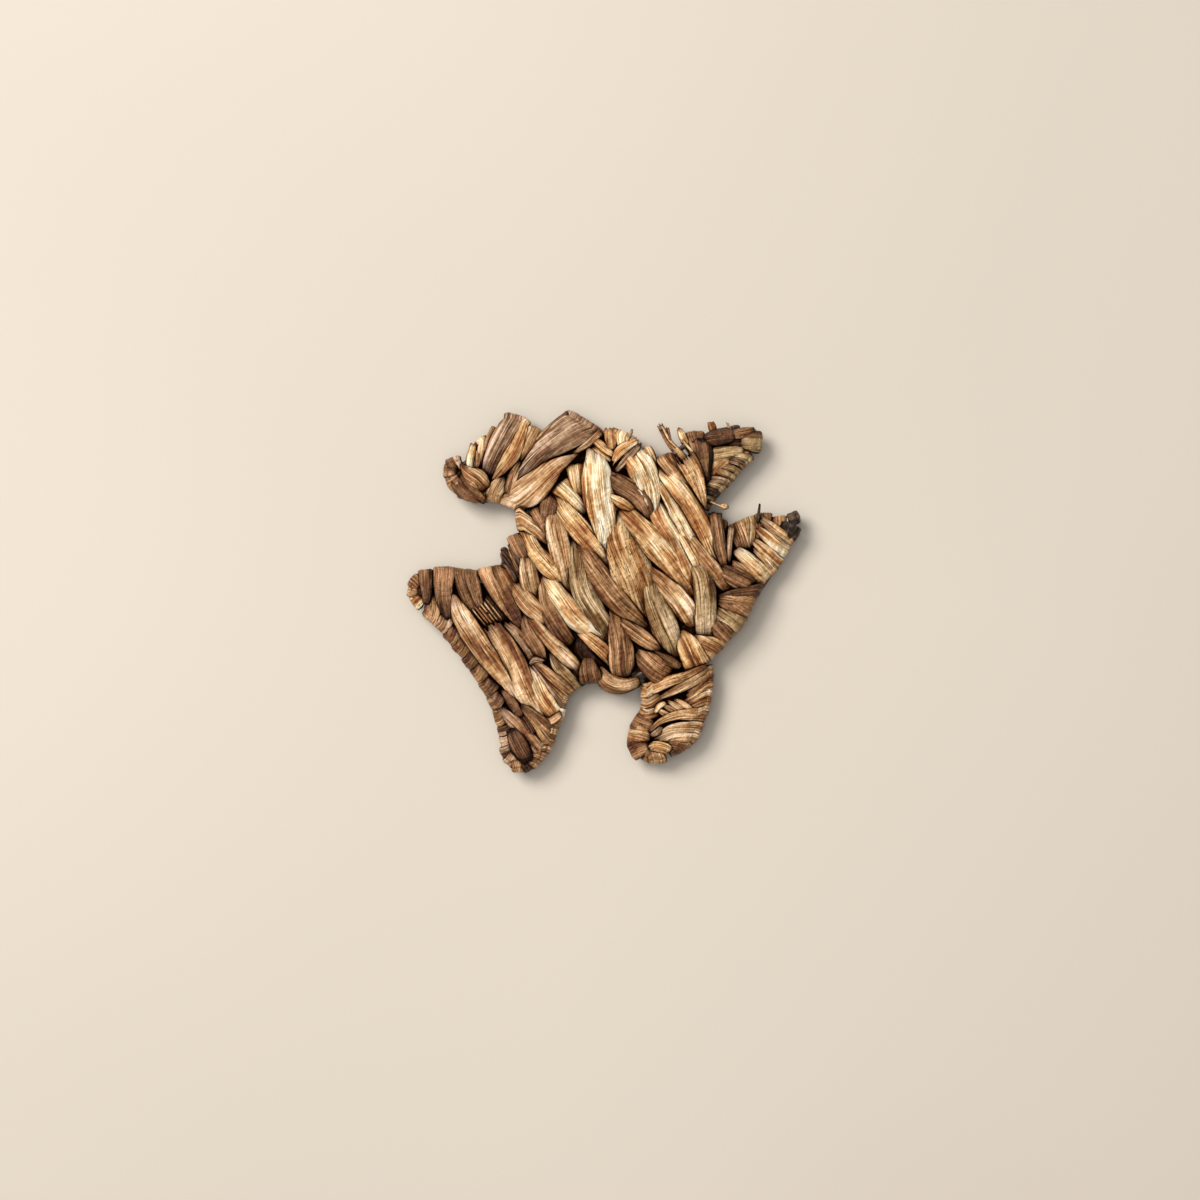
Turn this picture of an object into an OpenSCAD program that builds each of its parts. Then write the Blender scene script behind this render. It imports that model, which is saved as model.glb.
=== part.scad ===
// Flat fish ornament of dried leaf strips, plaited and folded over a bent wire outline.
// X runs to the head, Y to the back fin and Z up to the front face.
// The fish lies on its back on z = 0, with the middle of its box over the origin.

/* [Body] */
// Height of the back above the midline, at the tallest row
back_height = 34.5; // [30:0.5:40]
// Depth of the belly below the midline, at the deepest row
belly_depth = 38.5; // [34:0.5:44]
// Half length of the curve of the back
back_reach = 46; // [42:1:56]
// Half length of the curve of the belly
belly_reach = 47; // [43:1:56]
// Width of the plaited row at the tail
row_w_tail = 11.5; // [9:0.5:14]
// Width of the second plaited row
row_w_rear = 15; // [12:0.5:18]
// Width of the middle plaited row
row_w_mid = 16.5; // [13:0.5:19]
// Width of the fourth plaited row
row_w_front = 16; // [13:0.5:19]
// Width of the plaited row at the head
row_w_head = 9.5; // [8:0.5:12]
// Thickness of a plaited strand
strand_t = 1.4; // [1.1:0.1:1.8]
// Length along a strand from one crossing to the same crossing again
plait_pitch = 61; // [52:1:72]

/* [Leaf strips] */
// Thickness of a leaf strip on the fins, the tail and the jaws
strip_t = 1.1; // [0.8:0.1:1.4]
// Clearance between a leaf strip and what it lies on
clear = 0.3; // [0.2:0.05:0.5]
// Diameter of the bent wire
wire_d = 2; // [1.5:0.1:2.5]

/* [Tail] */
// Length of the tail, root to trailing edge
tail_len = 30.5; // [26:0.5:38]
// Half height of the tail at its root
tail_root_half = 24.5; // [21:0.5:28]
// Half height of the tail across its two tips
tail_tip_half = 36.5; // [32:0.5:42]

/* [Back fin] */
// Length of the back fin along the body
back_fin_len = 36; // [32:0.5:40]
// Height of the back fin's front corner above the back
back_fin_rise = 5; // [4:0.5:8]
// Distance that the back fin's tip is swept towards the tail
back_fin_sweep = 14; // [10:0.5:17]
// Height of the back fin's tip above the back
back_fin_height = 21.5; // [18:0.5:26]
// Width of the back fin across its tip
back_fin_tip_w = 12.5; // [10:0.5:15]
// Swell of the back fin's leading edge
back_fin_swell = 8; // [6:0.5:10]

/* [Belly fin] */
// Length of the belly fin along the body
belly_fin_len = 22; // [19:0.5:26]
// Distance that the belly fin's tip is swept towards the tail
belly_fin_sweep = 12.5; // [10:0.5:15]
// Depth of the belly fin's tip below the belly
belly_fin_depth = 18.5; // [16:0.5:22]
// Width of the belly fin across its tip
belly_fin_tip_w = 15.5; // [13:0.5:18]
// Swell of the belly fin's leading edge
belly_fin_swell = 3; // [1:0.5:5]

/* [Jaws] */
// Length of the upper jaw, head to tip
upper_jaw_len = 28; // [24:0.5:34]
// Height of the upper jaw where it leaves the head
upper_jaw_root = 24; // [21:0.5:27]
// Width of the upper jaw across its tip
upper_jaw_tip = 8; // [6:0.5:10]
// Length of the lower jaw, head to tip
lower_jaw_len = 23.5; // [20:0.5:28]
// Depth of the lower jaw where it leaves the head
lower_jaw_root = 34; // [31:0.5:37]
// Width of the lower jaw across its tip
lower_jaw_tip = 6.5; // [5.5:0.5:8]
// Height of the open mouth at the tips of the jaws
mouth_open = 21.5; // [18:0.5:26]

/* [Hidden] */
// Number of sides of the round wire
wire_sides = 6;
// Half profile of a leaf strip across its width, a flat lens, as shares of width and thickness
lens = [[-1, 0], [-0.5, -1], [0.5, -1], [1, 0], [0.5, 1], [-0.5, 1]];
// Depth that the strands are pressed flat where the fish lies on its back
rest_cut = 0.5;

// Plaited rows, tail to head: where the first starts, and where the strands of each row cross
body_back_x = -31;
row_w = [row_w_tail, row_w_rear, row_w_mid, row_w_front, row_w_head];
row_phase = [60, 20, 25, 60, 0];
row_seam = 0.5;
// Head end of the rows, and the tallest row
head_x = body_back_x + row_start(len(row_w));
peak_x = body_back_x + row_start(2) + row_w_mid / 2;
back_peak_shift = 2;
curve_power = 2.6;
// Strand of a plait: spacing of its points, side swing, width and banking as shares of the row
strand_step = 4.6;
plait_swing = 0.33;
plait_lean = 0.04;
strand_w = 0.42;
strand_bank = 0.25;
strand_swell = 0.5;
// Heights of a strand over and under the others, and of the rounded front
plait_lift = 0.9;
plait_rise = plait_lift * (strand_t + clear);
body_h = wire_d / 2 + 2 * clear + strand_t / 2 + plait_rise;
body_crown = 0.8;
mid_z = body_h + body_crown + plait_rise + strand_t / 2 - rest_cut;

// Layers of leaf round the wire: the first lies on the wire, each next on the last
layer_step = strip_t + clear;
wire_seat = wire_d / 2 + clear + strip_t / 2;
wire_inset = wire_seat + layer_step;
root_overlap = 2;
root_inset = root_overlap + plait_rise + strand_t / 2 + clear + wire_d / 2;

// Corners of each fin: root inner, root outer, tip inner, tip outer, and the outer edge's swell
tail_tuck = 3;
tail_root_x = body_back_x + tail_tuck;
tail_skew = 0.04;
tail_tip_skew = 0.07;
tail_y = 0.5;
tail = [
  tail_corner(0, -tail_root_half, tail_skew),
  tail_corner(0, tail_root_half, tail_skew),
  tail_corner(tail_len, -tail_tip_half, tail_tip_skew),
  tail_corner(tail_len, tail_tip_half, tail_tip_skew),
  0
];
back_fin_behind = 15.75;
back_fin_sink = 1;
back_fin_x = peak_x - back_fin_behind;
back_fin_seat = back_height - back_fin_sink;
back_fin_tip = [back_fin_x - back_fin_sweep, back_height + back_fin_height];
back_fin_turn = 61;
back_fin = [
  [back_fin_x, back_fin_seat],
  [back_fin_x + back_fin_len, back_fin_seat + back_fin_rise],
  back_fin_tip - back_fin_tip_w / 2 * aim(back_fin_turn),
  back_fin_tip + back_fin_tip_w / 2 * aim(back_fin_turn),
  back_fin_swell
];
belly_fin_behind = 14.75;
belly_fin_sink = 0.5;
belly_fin_x = peak_x - belly_fin_behind;
belly_fin_seat = belly_depth - belly_fin_sink;
belly_fin_tip = [belly_fin_x - belly_fin_sweep, -belly_depth - belly_fin_depth];
belly_fin_turn = -40;
belly_fin_rise = 3;
belly_fin_tuck = 1;
belly_fin = [
  [belly_fin_x, -belly_fin_seat + belly_fin_tuck],
  [belly_fin_x + belly_fin_len, -belly_fin_seat - belly_fin_rise],
  belly_fin_tip - belly_fin_tip_w / 2 * aim(belly_fin_turn),
  belly_fin_tip + belly_fin_tip_w / 2 * aim(belly_fin_turn),
  belly_fin_swell
];
mouth_y = -2;
mouth_corner = [1, 2];
upper_jaw_tuck = 5;
lower_jaw_tuck = 13;
upper_jaw_swell = 6;
lower_jaw_swell = 3;
upper_tip_lean = 1.5;
lower_tip_lean = 1;
upper_jaw_rise = 7;
upper_jaw_turn = 66;
lower_jaw_turn = -76;
upper_tip = [head_x + upper_jaw_len - upper_tip_lean, mouth_y + upper_jaw_rise];
lower_tip = [head_x + lower_jaw_len - lower_tip_lean, mouth_y + upper_jaw_rise - mouth_open];
upper_jaw = [
  [head_x, mouth_y + mouth_corner[0]],
  [head_x - upper_jaw_tuck, mouth_y + mouth_corner[0] + upper_jaw_root],
  upper_tip,
  upper_tip + upper_jaw_tip * aim(upper_jaw_turn),
  upper_jaw_swell
];
lower_jaw = [
  [head_x, mouth_y - mouth_corner[1]],
  [head_x - lower_jaw_tuck, mouth_y - mouth_corner[1] - lower_jaw_root],
  lower_tip,
  lower_tip + lower_jaw_tip * aim(lower_jaw_turn),
  lower_jaw_swell
];

// Middle of the box round the fish, seen from the front, with the reach of the strips past the wire
centre_shift = [-1.28, 1.84];
centre_x = (head_x + upper_jaw_len + tail_root_x - tail_len) / 2 + centre_shift[0];
centre_y = (back_fin_tip[1] - belly_depth - belly_fin_depth) / 2 + centre_shift[1];

// Geometry in the plane of the fish
function aim(a) = [cos(a), sin(a)];
function unit(v) = v / norm(v);
function mix(a, b, t) = a + (b - a) * t;
function ease(t) = t * t * (3 - 2 * t);
function turn_left(v) = [-v[1], v[0]];
function flat(v) = [v[0], v[1], 0];
function row_start(i) = i <= 0 ? 0 : row_w[i - 1] + row_start(i - 1);
function row_x(i) = body_back_x + row_start(i) + row_w[i] / 2;
function back_y(x) = back_height * (1 - pow(abs(x - peak_x + back_peak_shift) / back_reach, curve_power));
function belly_y(x) = -belly_depth * (1 - pow(abs(x - peak_x) / belly_reach, curve_power));
function tail_corner(along, y, skew) = [tail_root_x - along + skew * y, tail_y + y];

// Point of a fin, with a from root to tip and b from the inner to the outer edge
function fin_out(f, a) =
  let(inner = mix(f[0], f[2], 0.5), side = turn_left(unit(f[3] - f[1])))
  mix(f[1], f[3], a) + f[4] * 4 * a * (1 - a) * side * sign((f[1] - inner) * side);
function fin_at(f, a, b) = mix(mix(f[0], f[2], a), fin_out(f, a), (b + 1) / 2);

// Edges of a fin: its inner, outer and tip edge, the way in from them, and the wire's place
function edge_at(f, edge, s) =
  edge == "inner" ? fin_at(f, s, -1) :
  edge == "outer" ? fin_at(f, s, 1) :
  fin_at(f, edge == "tip" ? 1 : 0, 2 * s - 1);
function edge_along(f, edge, s) = unit(edge_at(f, edge, s + 0.01) - edge_at(f, edge, s - 0.01));
function edge_in(f, edge, s) =
  let(side = turn_left(edge_along(f, edge, s)))
  side * sign((fin_at(f, 0.5, 0) - edge_at(f, edge, s)) * side);
function wire_at(f, edge, s) = edge_at(f, edge, s) + wire_inset * edge_in(f, edge, s);

// Path of a strip: rows of point, outward normal and width
function share3(w, u) = w[0] * (1 - u) * (1 - 2 * u) + w[1] * 4 * u * (1 - u) + w[2] * u * (2 * u - 1);
function run_row(c, e, r, h, w, bow, u, face) =
  let(d = e - c, side = turn_left(unit(d)), q = c + d * u + side * bow * 4 * u * (1 - u))
  [[q[0], q[1], face * mix(r, h, ease(u))], [0, 0, face], share3(w, u)];
function fold_row(c, d, r, stretch, w, a, crease) =
  let(q = c - d * r * stretch * cos(a))
  [[q[0], q[1], r * sin(a)], [-d[0] * cos(a), -d[1] * cos(a), sin(a)], w * stretch, crease];

// Strip folded over an edge, with a free end on the front and one on the back
function tongue(f, edge, s, end, w, layer, top, bow = 0) =
  let(
    c = wire_at(f, edge, s),
    e = fin_at(f, end[0], end[1]),
    d = unit(e - c),
    r = wire_seat + layer * layer_step,
    h = wire_seat + top * layer_step,
    stretch = 1 / max(0.6, d * edge_in(f, edge, s))
  )
  concat(
    [for (u = [1, 0.75, 0.5, 0.25]) run_row(c, e, r, h, w, bow, u, 1)],
    [for (a = [90, 45, 0, -45, -90]) fold_row(c, d, r, stretch, w[0], a, edge_along(f, edge, s))],
    [for (u = [0.25, 0.5, 0.75, 1]) run_row(c, e, r, h, w, bow, u, -1)]
  );

// Strip laced over an edge turn after turn, going back behind to the next turn
function lace_turn(f, edge, s, end, next, w, layer) =
  let(
    c = wire_at(f, edge, s),
    e = fin_at(f, end[0], end[1]),
    g = fin_at(f, next[0], next[1]),
    r = wire_seat + layer * layer_step,
    d = unit(e - c),
    k = unit(g - c),
    stretch = 1 / max(0.6, d * edge_in(f, edge, s)),
    ww = [w, w, w]
  )
  concat(
    [for (a = [0, 45]) fold_row(e, -d, r, 1, w, a)],
    [for (u = [1, 0.5]) run_row(c, e, r, r, ww, 0, u, 1)],
    [for (a = [90, 45, 0, -45, -90]) fold_row(c, unit(d + k), r, stretch, w, a, edge_along(f, edge, s))],
    [for (u = [0.5, 1]) run_row(c, g, r, r, ww, 0, u, -1)],
    [for (a = [-45]) fold_row(g, -k, r, 1, w, a)]
  );
function lace(f, edge, turns, w, layer) =
  [for (i = [0:len(turns) - 2])
    each lace_turn(f, edge, turns[i][0], turns[i][1], turns[i + 1][1], w, layer)];

// Strip wound along an edge, close round the wire or to a depth inside it
round_angles = [90, 45, 0, -45, -90, -135, -180, -225];
deep_angles = [89, 45, 0, -45, -89, -91, -135, -180, -225, -269];
function winding(f, edge, s0, s1, turns, w, depth = 0) =
  let(angles = depth > 0 ? deep_angles : round_angles, n = len(angles))
  [for (i = [0:n * turns])
    let(
      s = mix(s0, s1, i / (n * turns)),
      a = angles[i % n],
      d = edge_in(f, edge, s),
      c = wire_at(f, edge, s) + d * (cos(a) < 0 ? depth : 0)
    )
    fold_row(c, d, wire_seat, 1, w, a)];

// Strand of a plaited row, laid round the body from the middle of its back
function loop_row(s, straight, h) =
  let(arc = PI * h)
  s < straight ? [-s, -h, [0, -1]] :
  s < straight + arc ? loop_arc(-1, -90 + 180 * (s - straight) / arc, straight, h) :
  s < 3 * straight + arc ? [s - arc - 2 * straight, h, [0, 1]] :
  s < 3 * straight + 2 * arc ? loop_arc(1, 90 - 180 * (s - 3 * straight - arc) / arc, straight, h) :
  [4 * straight + 2 * arc - s, -h, [0, -1]];
function loop_arc(way, a, straight, h) =
  [way * (straight + h * cos(a)), h * sin(a), [way * cos(a), sin(a)]];
function strand(i, k) =
  let(
    x = row_x(i),
    y0 = belly_y(x),
    y1 = back_y(x),
    straight = (y1 - y0) / 2 - body_h,
    length = 4 * straight + 2 * PI * body_h,
    cycles = round(3 * length / plait_pitch) / 3,
    steps = ceil(length / strand_step)
  )
  [for (j = [0:steps])
    let(
      s = mix(row_seam / 2, length - row_seam / 2, j / steps),
      at = loop_row(s, straight, body_h),
      phase = 360 * cycles * s / length + 120 * k + row_phase[i],
      swing = row_w[i] * (plait_swing * sin(phase) - plait_lean * cos(2 * phase)),
      lift = plait_rise * sin(2 * phase),
      crown = body_crown * max(0, 1 - pow(at[0] / straight, 2)),
      n = at[2],
      rise = lift + crown
    )
    [
      [x + swing, (y0 + y1) / 2 + at[0] + n[0] * rise, at[1] + n[1] * rise],
      unit([strand_bank * sin(phase), n[0], n[1]]),
      strand_w * row_w[i] * (1 + strand_swell * sin(2 * phase))
    ]];

// Solid swept along a path, with every point kept above the rest plane
function path_way(path, i) = unit(path[min(i + 1, len(path) - 1)][0] - path[max(i - 1, 0)][0]);
function lift_up(p) = [p[0], p[1], max(0, p[2])];
function place(p) = lift_up(p + [-centre_x, -centre_y, mid_z]);
function strip_ring(path, i, t) =
  let(
    way = path_way(path, i),
    square = unit(cross(path[i][1], way)),
    crease = is_undef(path[i][3]) ? square : flat(path[i][3]),
    across = crease * sign(crease * square),
    up = unit(cross(way, across))
  )
  [for (q = lens) place(path[i][0] + across * q[0] * path[i][2] / 2 + up * q[1] * t / 2)];
function wire_ring(path, i) =
  let(way = path_way(path, i), across = unit(cross([0, 0, 1], way)), up = cross(way, across))
  [for (k = [0:wire_sides - 1])
    let(a = 360 * (k + 0.5) / wire_sides)
    place(path[i][0] + wire_d / 2 * (across * cos(a) + up * sin(a)))];
module skin(rings) {
  n = len(rings[0]);
  m = len(rings);
  sides = [for (i = [0:m - 2], k = [0:n - 1])
    let(a = i * n + k, b = i * n + (k + 1) % n)
    each [[a, a + n, b], [b, a + n, b + n]]];
  first = [for (k = [1:n - 2]) [0, k, k + 1]];
  last = [for (k = [1:n - 2]) [(m - 1) * n, (m - 1) * n + k + 1, (m - 1) * n + k]];
  polyhedron(points = [for (r = rings) each r], faces = concat(first, sides, last));
}
module strip(path, t = strip_t) {
  skin([for (i = [0:len(path) - 1]) strip_ring(path, i, t)]);
}
module wire(points) {
  path = [for (p = points) [flat(p)]];
  skin([for (i = [0:len(path) - 1]) wire_ring(path, i)]);
}

// Wire along the edges of a fin, from one share of an edge to another
function wire_run(f, edge, s0, s1, n) = [for (i = [0:n]) wire_at(f, edge, mix(s0, s1, i / n))];
mouth_gap = wire_d / 2 + clear;
mouth_tuck = 2.5;
row_level = 0.3;
function row_back(i, way) = [for (k = [-way, way])
  [row_x(i) + k * row_level * row_w[i], back_y(row_x(i)) - body_h]];
function row_belly(i, way) = [for (k = [-way, way])
  [row_x(i) + k * row_level * row_w[i], belly_y(row_x(i)) + body_h]];
frame_path = concat(
  [[head_x - mouth_tuck, mouth_y + mouth_gap]],
  wire_run(upper_jaw, "inner", 0.06, 0.9, 5),
  wire_run(upper_jaw, "outer", 0.93, 0.2, 5),
  [for (i = [4:-1:0]) each row_back(i, -1)],
  wire_run(tail, "outer", 0.2, 0.92, 4),
  wire_run(tail, "tip", 0.95, 0.05, 6),
  wire_run(tail, "inner", 0.92, 0.2, 4),
  [for (i = [0:4]) each row_belly(i, 1)],
  wire_run(lower_jaw, "outer", 0.2, 0.93, 4),
  wire_run(lower_jaw, "inner", 0.9, 0.06, 5),
  [[head_x - mouth_tuck, mouth_y - mouth_gap]]
);

// Wire loops of the two fins, closed along the body
function fin_loop(f) = concat(
  wire_run(f, "inner", 0.12, 0.9, 5),
  wire_run(f, "tip", 0.12, 0.88, 2),
  wire_run(f, "outer", 0.94, 0.06, 8),
  [for (i = [0:4]) edge_at(f, "root", mix(0.9, 0.16, i / 4)) + root_inset * edge_in(f, "root", 0.5)]
);
back_fin_path = fin_loop(back_fin);
belly_fin_path = fin_loop(belly_fin);

// Laced strips: each turn's place on the edge and its inner end
tail_top_lace = lace(tail, "outer", [
  [0.36, [0.43, 0.42]],
  [0.5, [0.55, 0.4]],
  [0.64, [0.74, 0.55]],
  [0.8, [0.88, 0.66]],
  [0, [0.95, 0.74]]
], 3.5, 0);
tail_edge_wind = winding(tail, "tip", 0.8, 0.26, 8, 3.8);
back_fin_edge_lace = lace(back_fin, "inner", [
  [0.36, [0.4, -0.3]],
  [0.58, [0.52, -0.35]],
  [0, [0.62, -0.5]]
], 4.4, 0);
belly_fin_front_lace = lace(belly_fin, "outer", [
  [0.26, [0.24, -0.25]],
  [0.42, [0.42, 0.2]],
  [0, [0.5, 0.1]]
], 4.8, 0);
belly_fin_rear_lace = winding(belly_fin, "inner", 0.24, 0.88, 3, 4, 3);
upper_jaw_lace = lace(upper_jaw, "inner", [
  [0.22, [0.27, -0.15]],
  [0.42, [0.5, 0.05]],
  [0.64, [0.7, 0.1]],
  [0, [0.84, 0]]
], 5.2, 0);
lower_jaw_back_lace = lace(lower_jaw, "inner", [
  [0.12, [0.1, -0.4]],
  [0.3, [0.3, -0.4]],
  [0.5, [0.5, -0.4]],
  [0, [0.66, -0.4]]
], 3.7, 0);
lower_jaw_front_lace = lace(lower_jaw, "outer", [
  [0.42, [0.36, 0.25]],
  [0.6, [0.54, 0.2]],
  [0.78, [0.72, -0.1]],
  [0, [0.88, 0]]
], 5, 0);

// Leaf end tucked between the head and the back fin
head_tuft_w = 6;
head_tuft_z = 2.4;
head_tuft_x = row_x(3) + 4.5;
head_tuft_root = [head_tuft_x, back_y(head_tuft_x) + 2.2];
head_tuft_way = [2.5, 6];
head_tuft_path = [for (u = [0, 0.33, 0.67, 1])
  [flat(head_tuft_root + u * head_tuft_way) + [0, 0, head_tuft_z], [0, 0, 1], head_tuft_w]];

// Least gap from a laced or wound strip to its own other turns, between the points of its outline
turn_rows = 6;
function ring_gap(a, b) = min([for (p = a, q = b) norm(p - q)]);
function self_gap(path) =
  let(rings = [for (i = [0:len(path) - 1]) strip_ring(path, i, strip_t)])
  min([for (i = [0:len(rings) - 1], j = [i + turn_rows:1:len(rings) - 1]) ring_gap(rings[i], rings[j])]);
echo(tail_top_lacing_gap = self_gap(tail_top_lace));
echo(tail_edge_winding_gap = self_gap(tail_edge_wind));
echo(back_fin_edge_lacing_gap = self_gap(back_fin_edge_lace));
echo(belly_fin_front_lacing_gap = self_gap(belly_fin_front_lace));
echo(belly_fin_rear_lacing_gap = self_gap(belly_fin_rear_lace));
echo(upper_jaw_lacing_gap = self_gap(upper_jaw_lace));
echo(lower_jaw_back_lacing_gap = self_gap(lower_jaw_back_lace));
echo(lower_jaw_front_lacing_gap = self_gap(lower_jaw_front_lace));

module frame_wire() {
  color("dimgray") wire(frame_path);
}
module back_fin_wire() {
  color("dimgray") wire(back_fin_path);
}
module belly_fin_wire() {
  color("dimgray") wire(belly_fin_path);
}

// Plaited rows of three strands, tail to head
module row1_strand1() {
  color("tan") strip(strand(0, 0), strand_t);
}
module row1_strand2() {
  color("burlywood") strip(strand(0, 1), strand_t);
}
module row1_strand3() {
  color("peru") strip(strand(0, 2), strand_t);
}
module row2_strand1() {
  color("burlywood") strip(strand(1, 0), strand_t);
}
module row2_strand2() {
  color("peru") strip(strand(1, 1), strand_t);
}
module row2_strand3() {
  color("tan") strip(strand(1, 2), strand_t);
}
module row3_strand1() {
  color("wheat") strip(strand(2, 0), strand_t);
}
module row3_strand2() {
  color("tan") strip(strand(2, 1), strand_t);
}
module row3_strand3() {
  color("peru") strip(strand(2, 2), strand_t);
}
module row4_strand1() {
  color("burlywood") strip(strand(3, 0), strand_t);
}
module row4_strand2() {
  color("wheat") strip(strand(3, 1), strand_t);
}
module row4_strand3() {
  color("tan") strip(strand(3, 2), strand_t);
}
module row5_strand1() {
  color("tan") strip(strand(4, 0), strand_t);
}
module row5_strand2() {
  color("burlywood") strip(strand(4, 1), strand_t);
}
module row5_strand3() {
  color("peru") strip(strand(4, 2), strand_t);
}

// Tail
module tail_top_leaf() {
  color("rosybrown") strip(tongue(tail, "outer", 0.21, [0.24, 0.1], [7.6, 6.5, 3], 1, 1));
}
module tail_top_lacing() {
  color("peru") strip(tail_top_lace);
}
module tail_tip_band() {
  color("sienna") strip(tongue(tail, "tip", 0.93, [0.7, 0.84], [6.5, 6, 4], 1, 1));
}
module tail_edge_winding() {
  color("saddlebrown") strip(tail_edge_wind);
}
module tail_long_leaf() {
  color("burlywood") strip(tongue(tail, "inner", 0.67, [0.68, 0.72], [4.5, 7, 1.5], 1, 2, 1));
}
module tail_torn_leaf() {
  color("tan") strip(tongue(tail, "inner", 0.55, [0.46, 0.24], [3.5, 6.8, 7], 0, 0.6));
}
module tail_olive_leaf() {
  color("darkkhaki") strip(tongue(tail, "inner", 0.42, [0.43, -0.3], [4.4, 5.4, 1.5], 1, 2));
}
module tail_pleated_leaf() {
  color("rosybrown") strip(tongue(tail, "inner", 0.28, [0.35, -0.2], [4.6, 5.2, 2], 1, 1));
}
module tail_small_leaf() {
  color("tan") strip(tongue(tail, "inner", 0.14, [0.16, -0.25], [3.8, 4.6, 1.5], 1, 1));
}
module tail_inner_leaf() {
  color("darkkhaki") strip(tongue(tail, "inner", 0.21, [0.24, 0.06], [4, 5.4, 3], 0, 0));
}
module tail_low_leaf() {
  color("tan") strip(tongue(tail, "tip", 0.2, [0.8, -0.76], [5, 4.5, 2], 1, 1));
}
module tail_low_dark() {
  color("saddlebrown") strip(tongue(tail, "inner", 0.78, [0.82, -0.42], [3.4, 3.4, 1.5], 2, 2));
}
module tail_low_fan() {
  color("burlywood") strip(tongue(tail, "inner", 0.6, [0.7, -0.5], [4.6, 4.6, 1.5], 2, 3));
}
module tail_low_knob() {
  color("sienna") strip(tongue(tail, "inner", 0.9, [0.9, -0.58], [6, 6.5, 2], 1, 2));
}
module tail_low_band() {
  color("peru") strip(tongue(tail, "tip", 0.08, [0.7, -0.84], [6, 6, 3], 0, 0));
}

// Back fin
module back_fin_root_leaf() {
  color("burlywood") strip(tongue(back_fin, "inner", 0.12, [0.04, 0.4], [6.5, 8, 2], 1, 3));
}
module back_fin_wide_leaf() {
  color("rosybrown") strip(tongue(back_fin, "outer", 0.15, [0.34, -0.3], [11, 10, 2.5], 1, 1));
}
module back_fin_light_leaf() {
  color("tan") strip(tongue(back_fin, "outer", 0.36, [0.42, -0.1], [8, 7, 3], 0, 0));
}
module back_fin_lens_leaf() {
  color("peru") strip(tongue(back_fin, "outer", 0.46, [0.5, -0.42], [3.5, 5, 1.5], 2, 2));
}
module back_fin_grey_leaf() {
  color("rosybrown") strip(tongue(back_fin, "outer", 0.64, [0.62, -0.5], [9, 8, 2], 1, 1));
}
module back_fin_edge_lacing() {
  color("burlywood") strip(back_fin_edge_lace);
}
module back_fin_knot_lens() {
  color("tan") strip(tongue(back_fin, "outer", 0.93, [0.74, -0.2], [5, 6, 2], 1, 1));
}
module back_fin_knot_band() {
  color("peru") strip(tongue(back_fin, "inner", 0.78, [0.92, 0.4], [7, 6.5, 3], 1, 2));
}
module back_fin_tip_band() {
  color("saddlebrown") strip(tongue(back_fin, "tip", 0.4, [0.74, -0.3], [6, 5, 4], 0, 0));
}
module head_tuft() {
  color("tan") strip(head_tuft_path);
}

// Belly fin
module belly_fin_root_band() {
  color("peru") strip(tongue(belly_fin, "outer", 0.12, [0.14, -0.85], [6, 6, 4], 1, 1));
}
module belly_fin_front_lacing() {
  color("tan") strip(belly_fin_front_lace);
}
module belly_fin_rear_lacing() {
  color("burlywood") strip(belly_fin_rear_lace);
}
module belly_fin_long_band() {
  color("burlywood") strip(tongue(belly_fin, "outer", 0.58, [0.62, -0.35], [5, 5.5, 2], 1, 1));
}
module belly_fin_fan() {
  color("wheat") strip(tongue(belly_fin, "outer", 0.8, [0.78, 0], [8, 8, 4], 0, 0));
}
module belly_fin_tip_band() {
  color("wheat") strip(tongue(belly_fin, "tip", 0.6, [0.74, 0.1], [7, 6, 4], 1, 1));
}

// Upper jaw
module upper_jaw_lacing() {
  color("darkkhaki") strip(upper_jaw_lace);
}
module upper_jaw_dark_leaf() {
  color("saddlebrown") strip(tongue(upper_jaw, "outer", 0.44, [0.27, -0.42], [6, 6.4, 3.5], 1, 1.6));
}
module upper_jaw_roll() {
  color("saddlebrown") strip(tongue(upper_jaw, "outer", 0.71, [0.7, 0.2], [10, 9.5, 9], 1, 1));
}
module upper_jaw_frayed_leaf() {
  color("burlywood") strip(tongue(upper_jaw, "outer", 0.24, [0.1, -0.8], [6.5, 6, 2], 1, 1));
}
module upper_jaw_tip_band() {
  color("rosybrown") strip(tongue(upper_jaw, "tip", 0.5, [0.74, 0], [8, 8, 7], 1, 1));
}

// Lower jaw
module lower_jaw_back_lacing() {
  color("darkkhaki") strip(lower_jaw_back_lace);
}
module lower_jaw_front_lacing() {
  color("burlywood") strip(lower_jaw_front_lace);
}
module lower_jaw_fan() {
  color("peru") strip(tongue(lower_jaw, "outer", 0.2, [0.06, 0.4], [11, 8, 2.5], 1, 1));
}
module lower_jaw_tip_band() {
  color("dimgray") strip(tongue(lower_jaw, "tip", 0.5, [0.76, 0.05], [7, 7, 6], 1, 1));
}

frame_wire();
back_fin_wire();
belly_fin_wire();
row1_strand1();
row1_strand2();
row1_strand3();
row2_strand1();
row2_strand2();
row2_strand3();
row3_strand1();
row3_strand2();
row3_strand3();
row4_strand1();
row4_strand2();
row4_strand3();
row5_strand1();
row5_strand2();
row5_strand3();
tail_top_leaf();
tail_top_lacing();
tail_tip_band();
tail_edge_winding();
tail_long_leaf();
tail_torn_leaf();
tail_olive_leaf();
tail_pleated_leaf();
tail_small_leaf();
tail_inner_leaf();
tail_low_leaf();
tail_low_dark();
tail_low_fan();
tail_low_knob();
tail_low_band();
back_fin_root_leaf();
back_fin_wide_leaf();
back_fin_light_leaf();
back_fin_lens_leaf();
back_fin_grey_leaf();
back_fin_edge_lacing();
back_fin_knot_lens();
back_fin_knot_band();
back_fin_tip_band();
head_tuft();
belly_fin_root_band();
belly_fin_front_lacing();
belly_fin_rear_lacing();
belly_fin_long_band();
belly_fin_fan();
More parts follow.
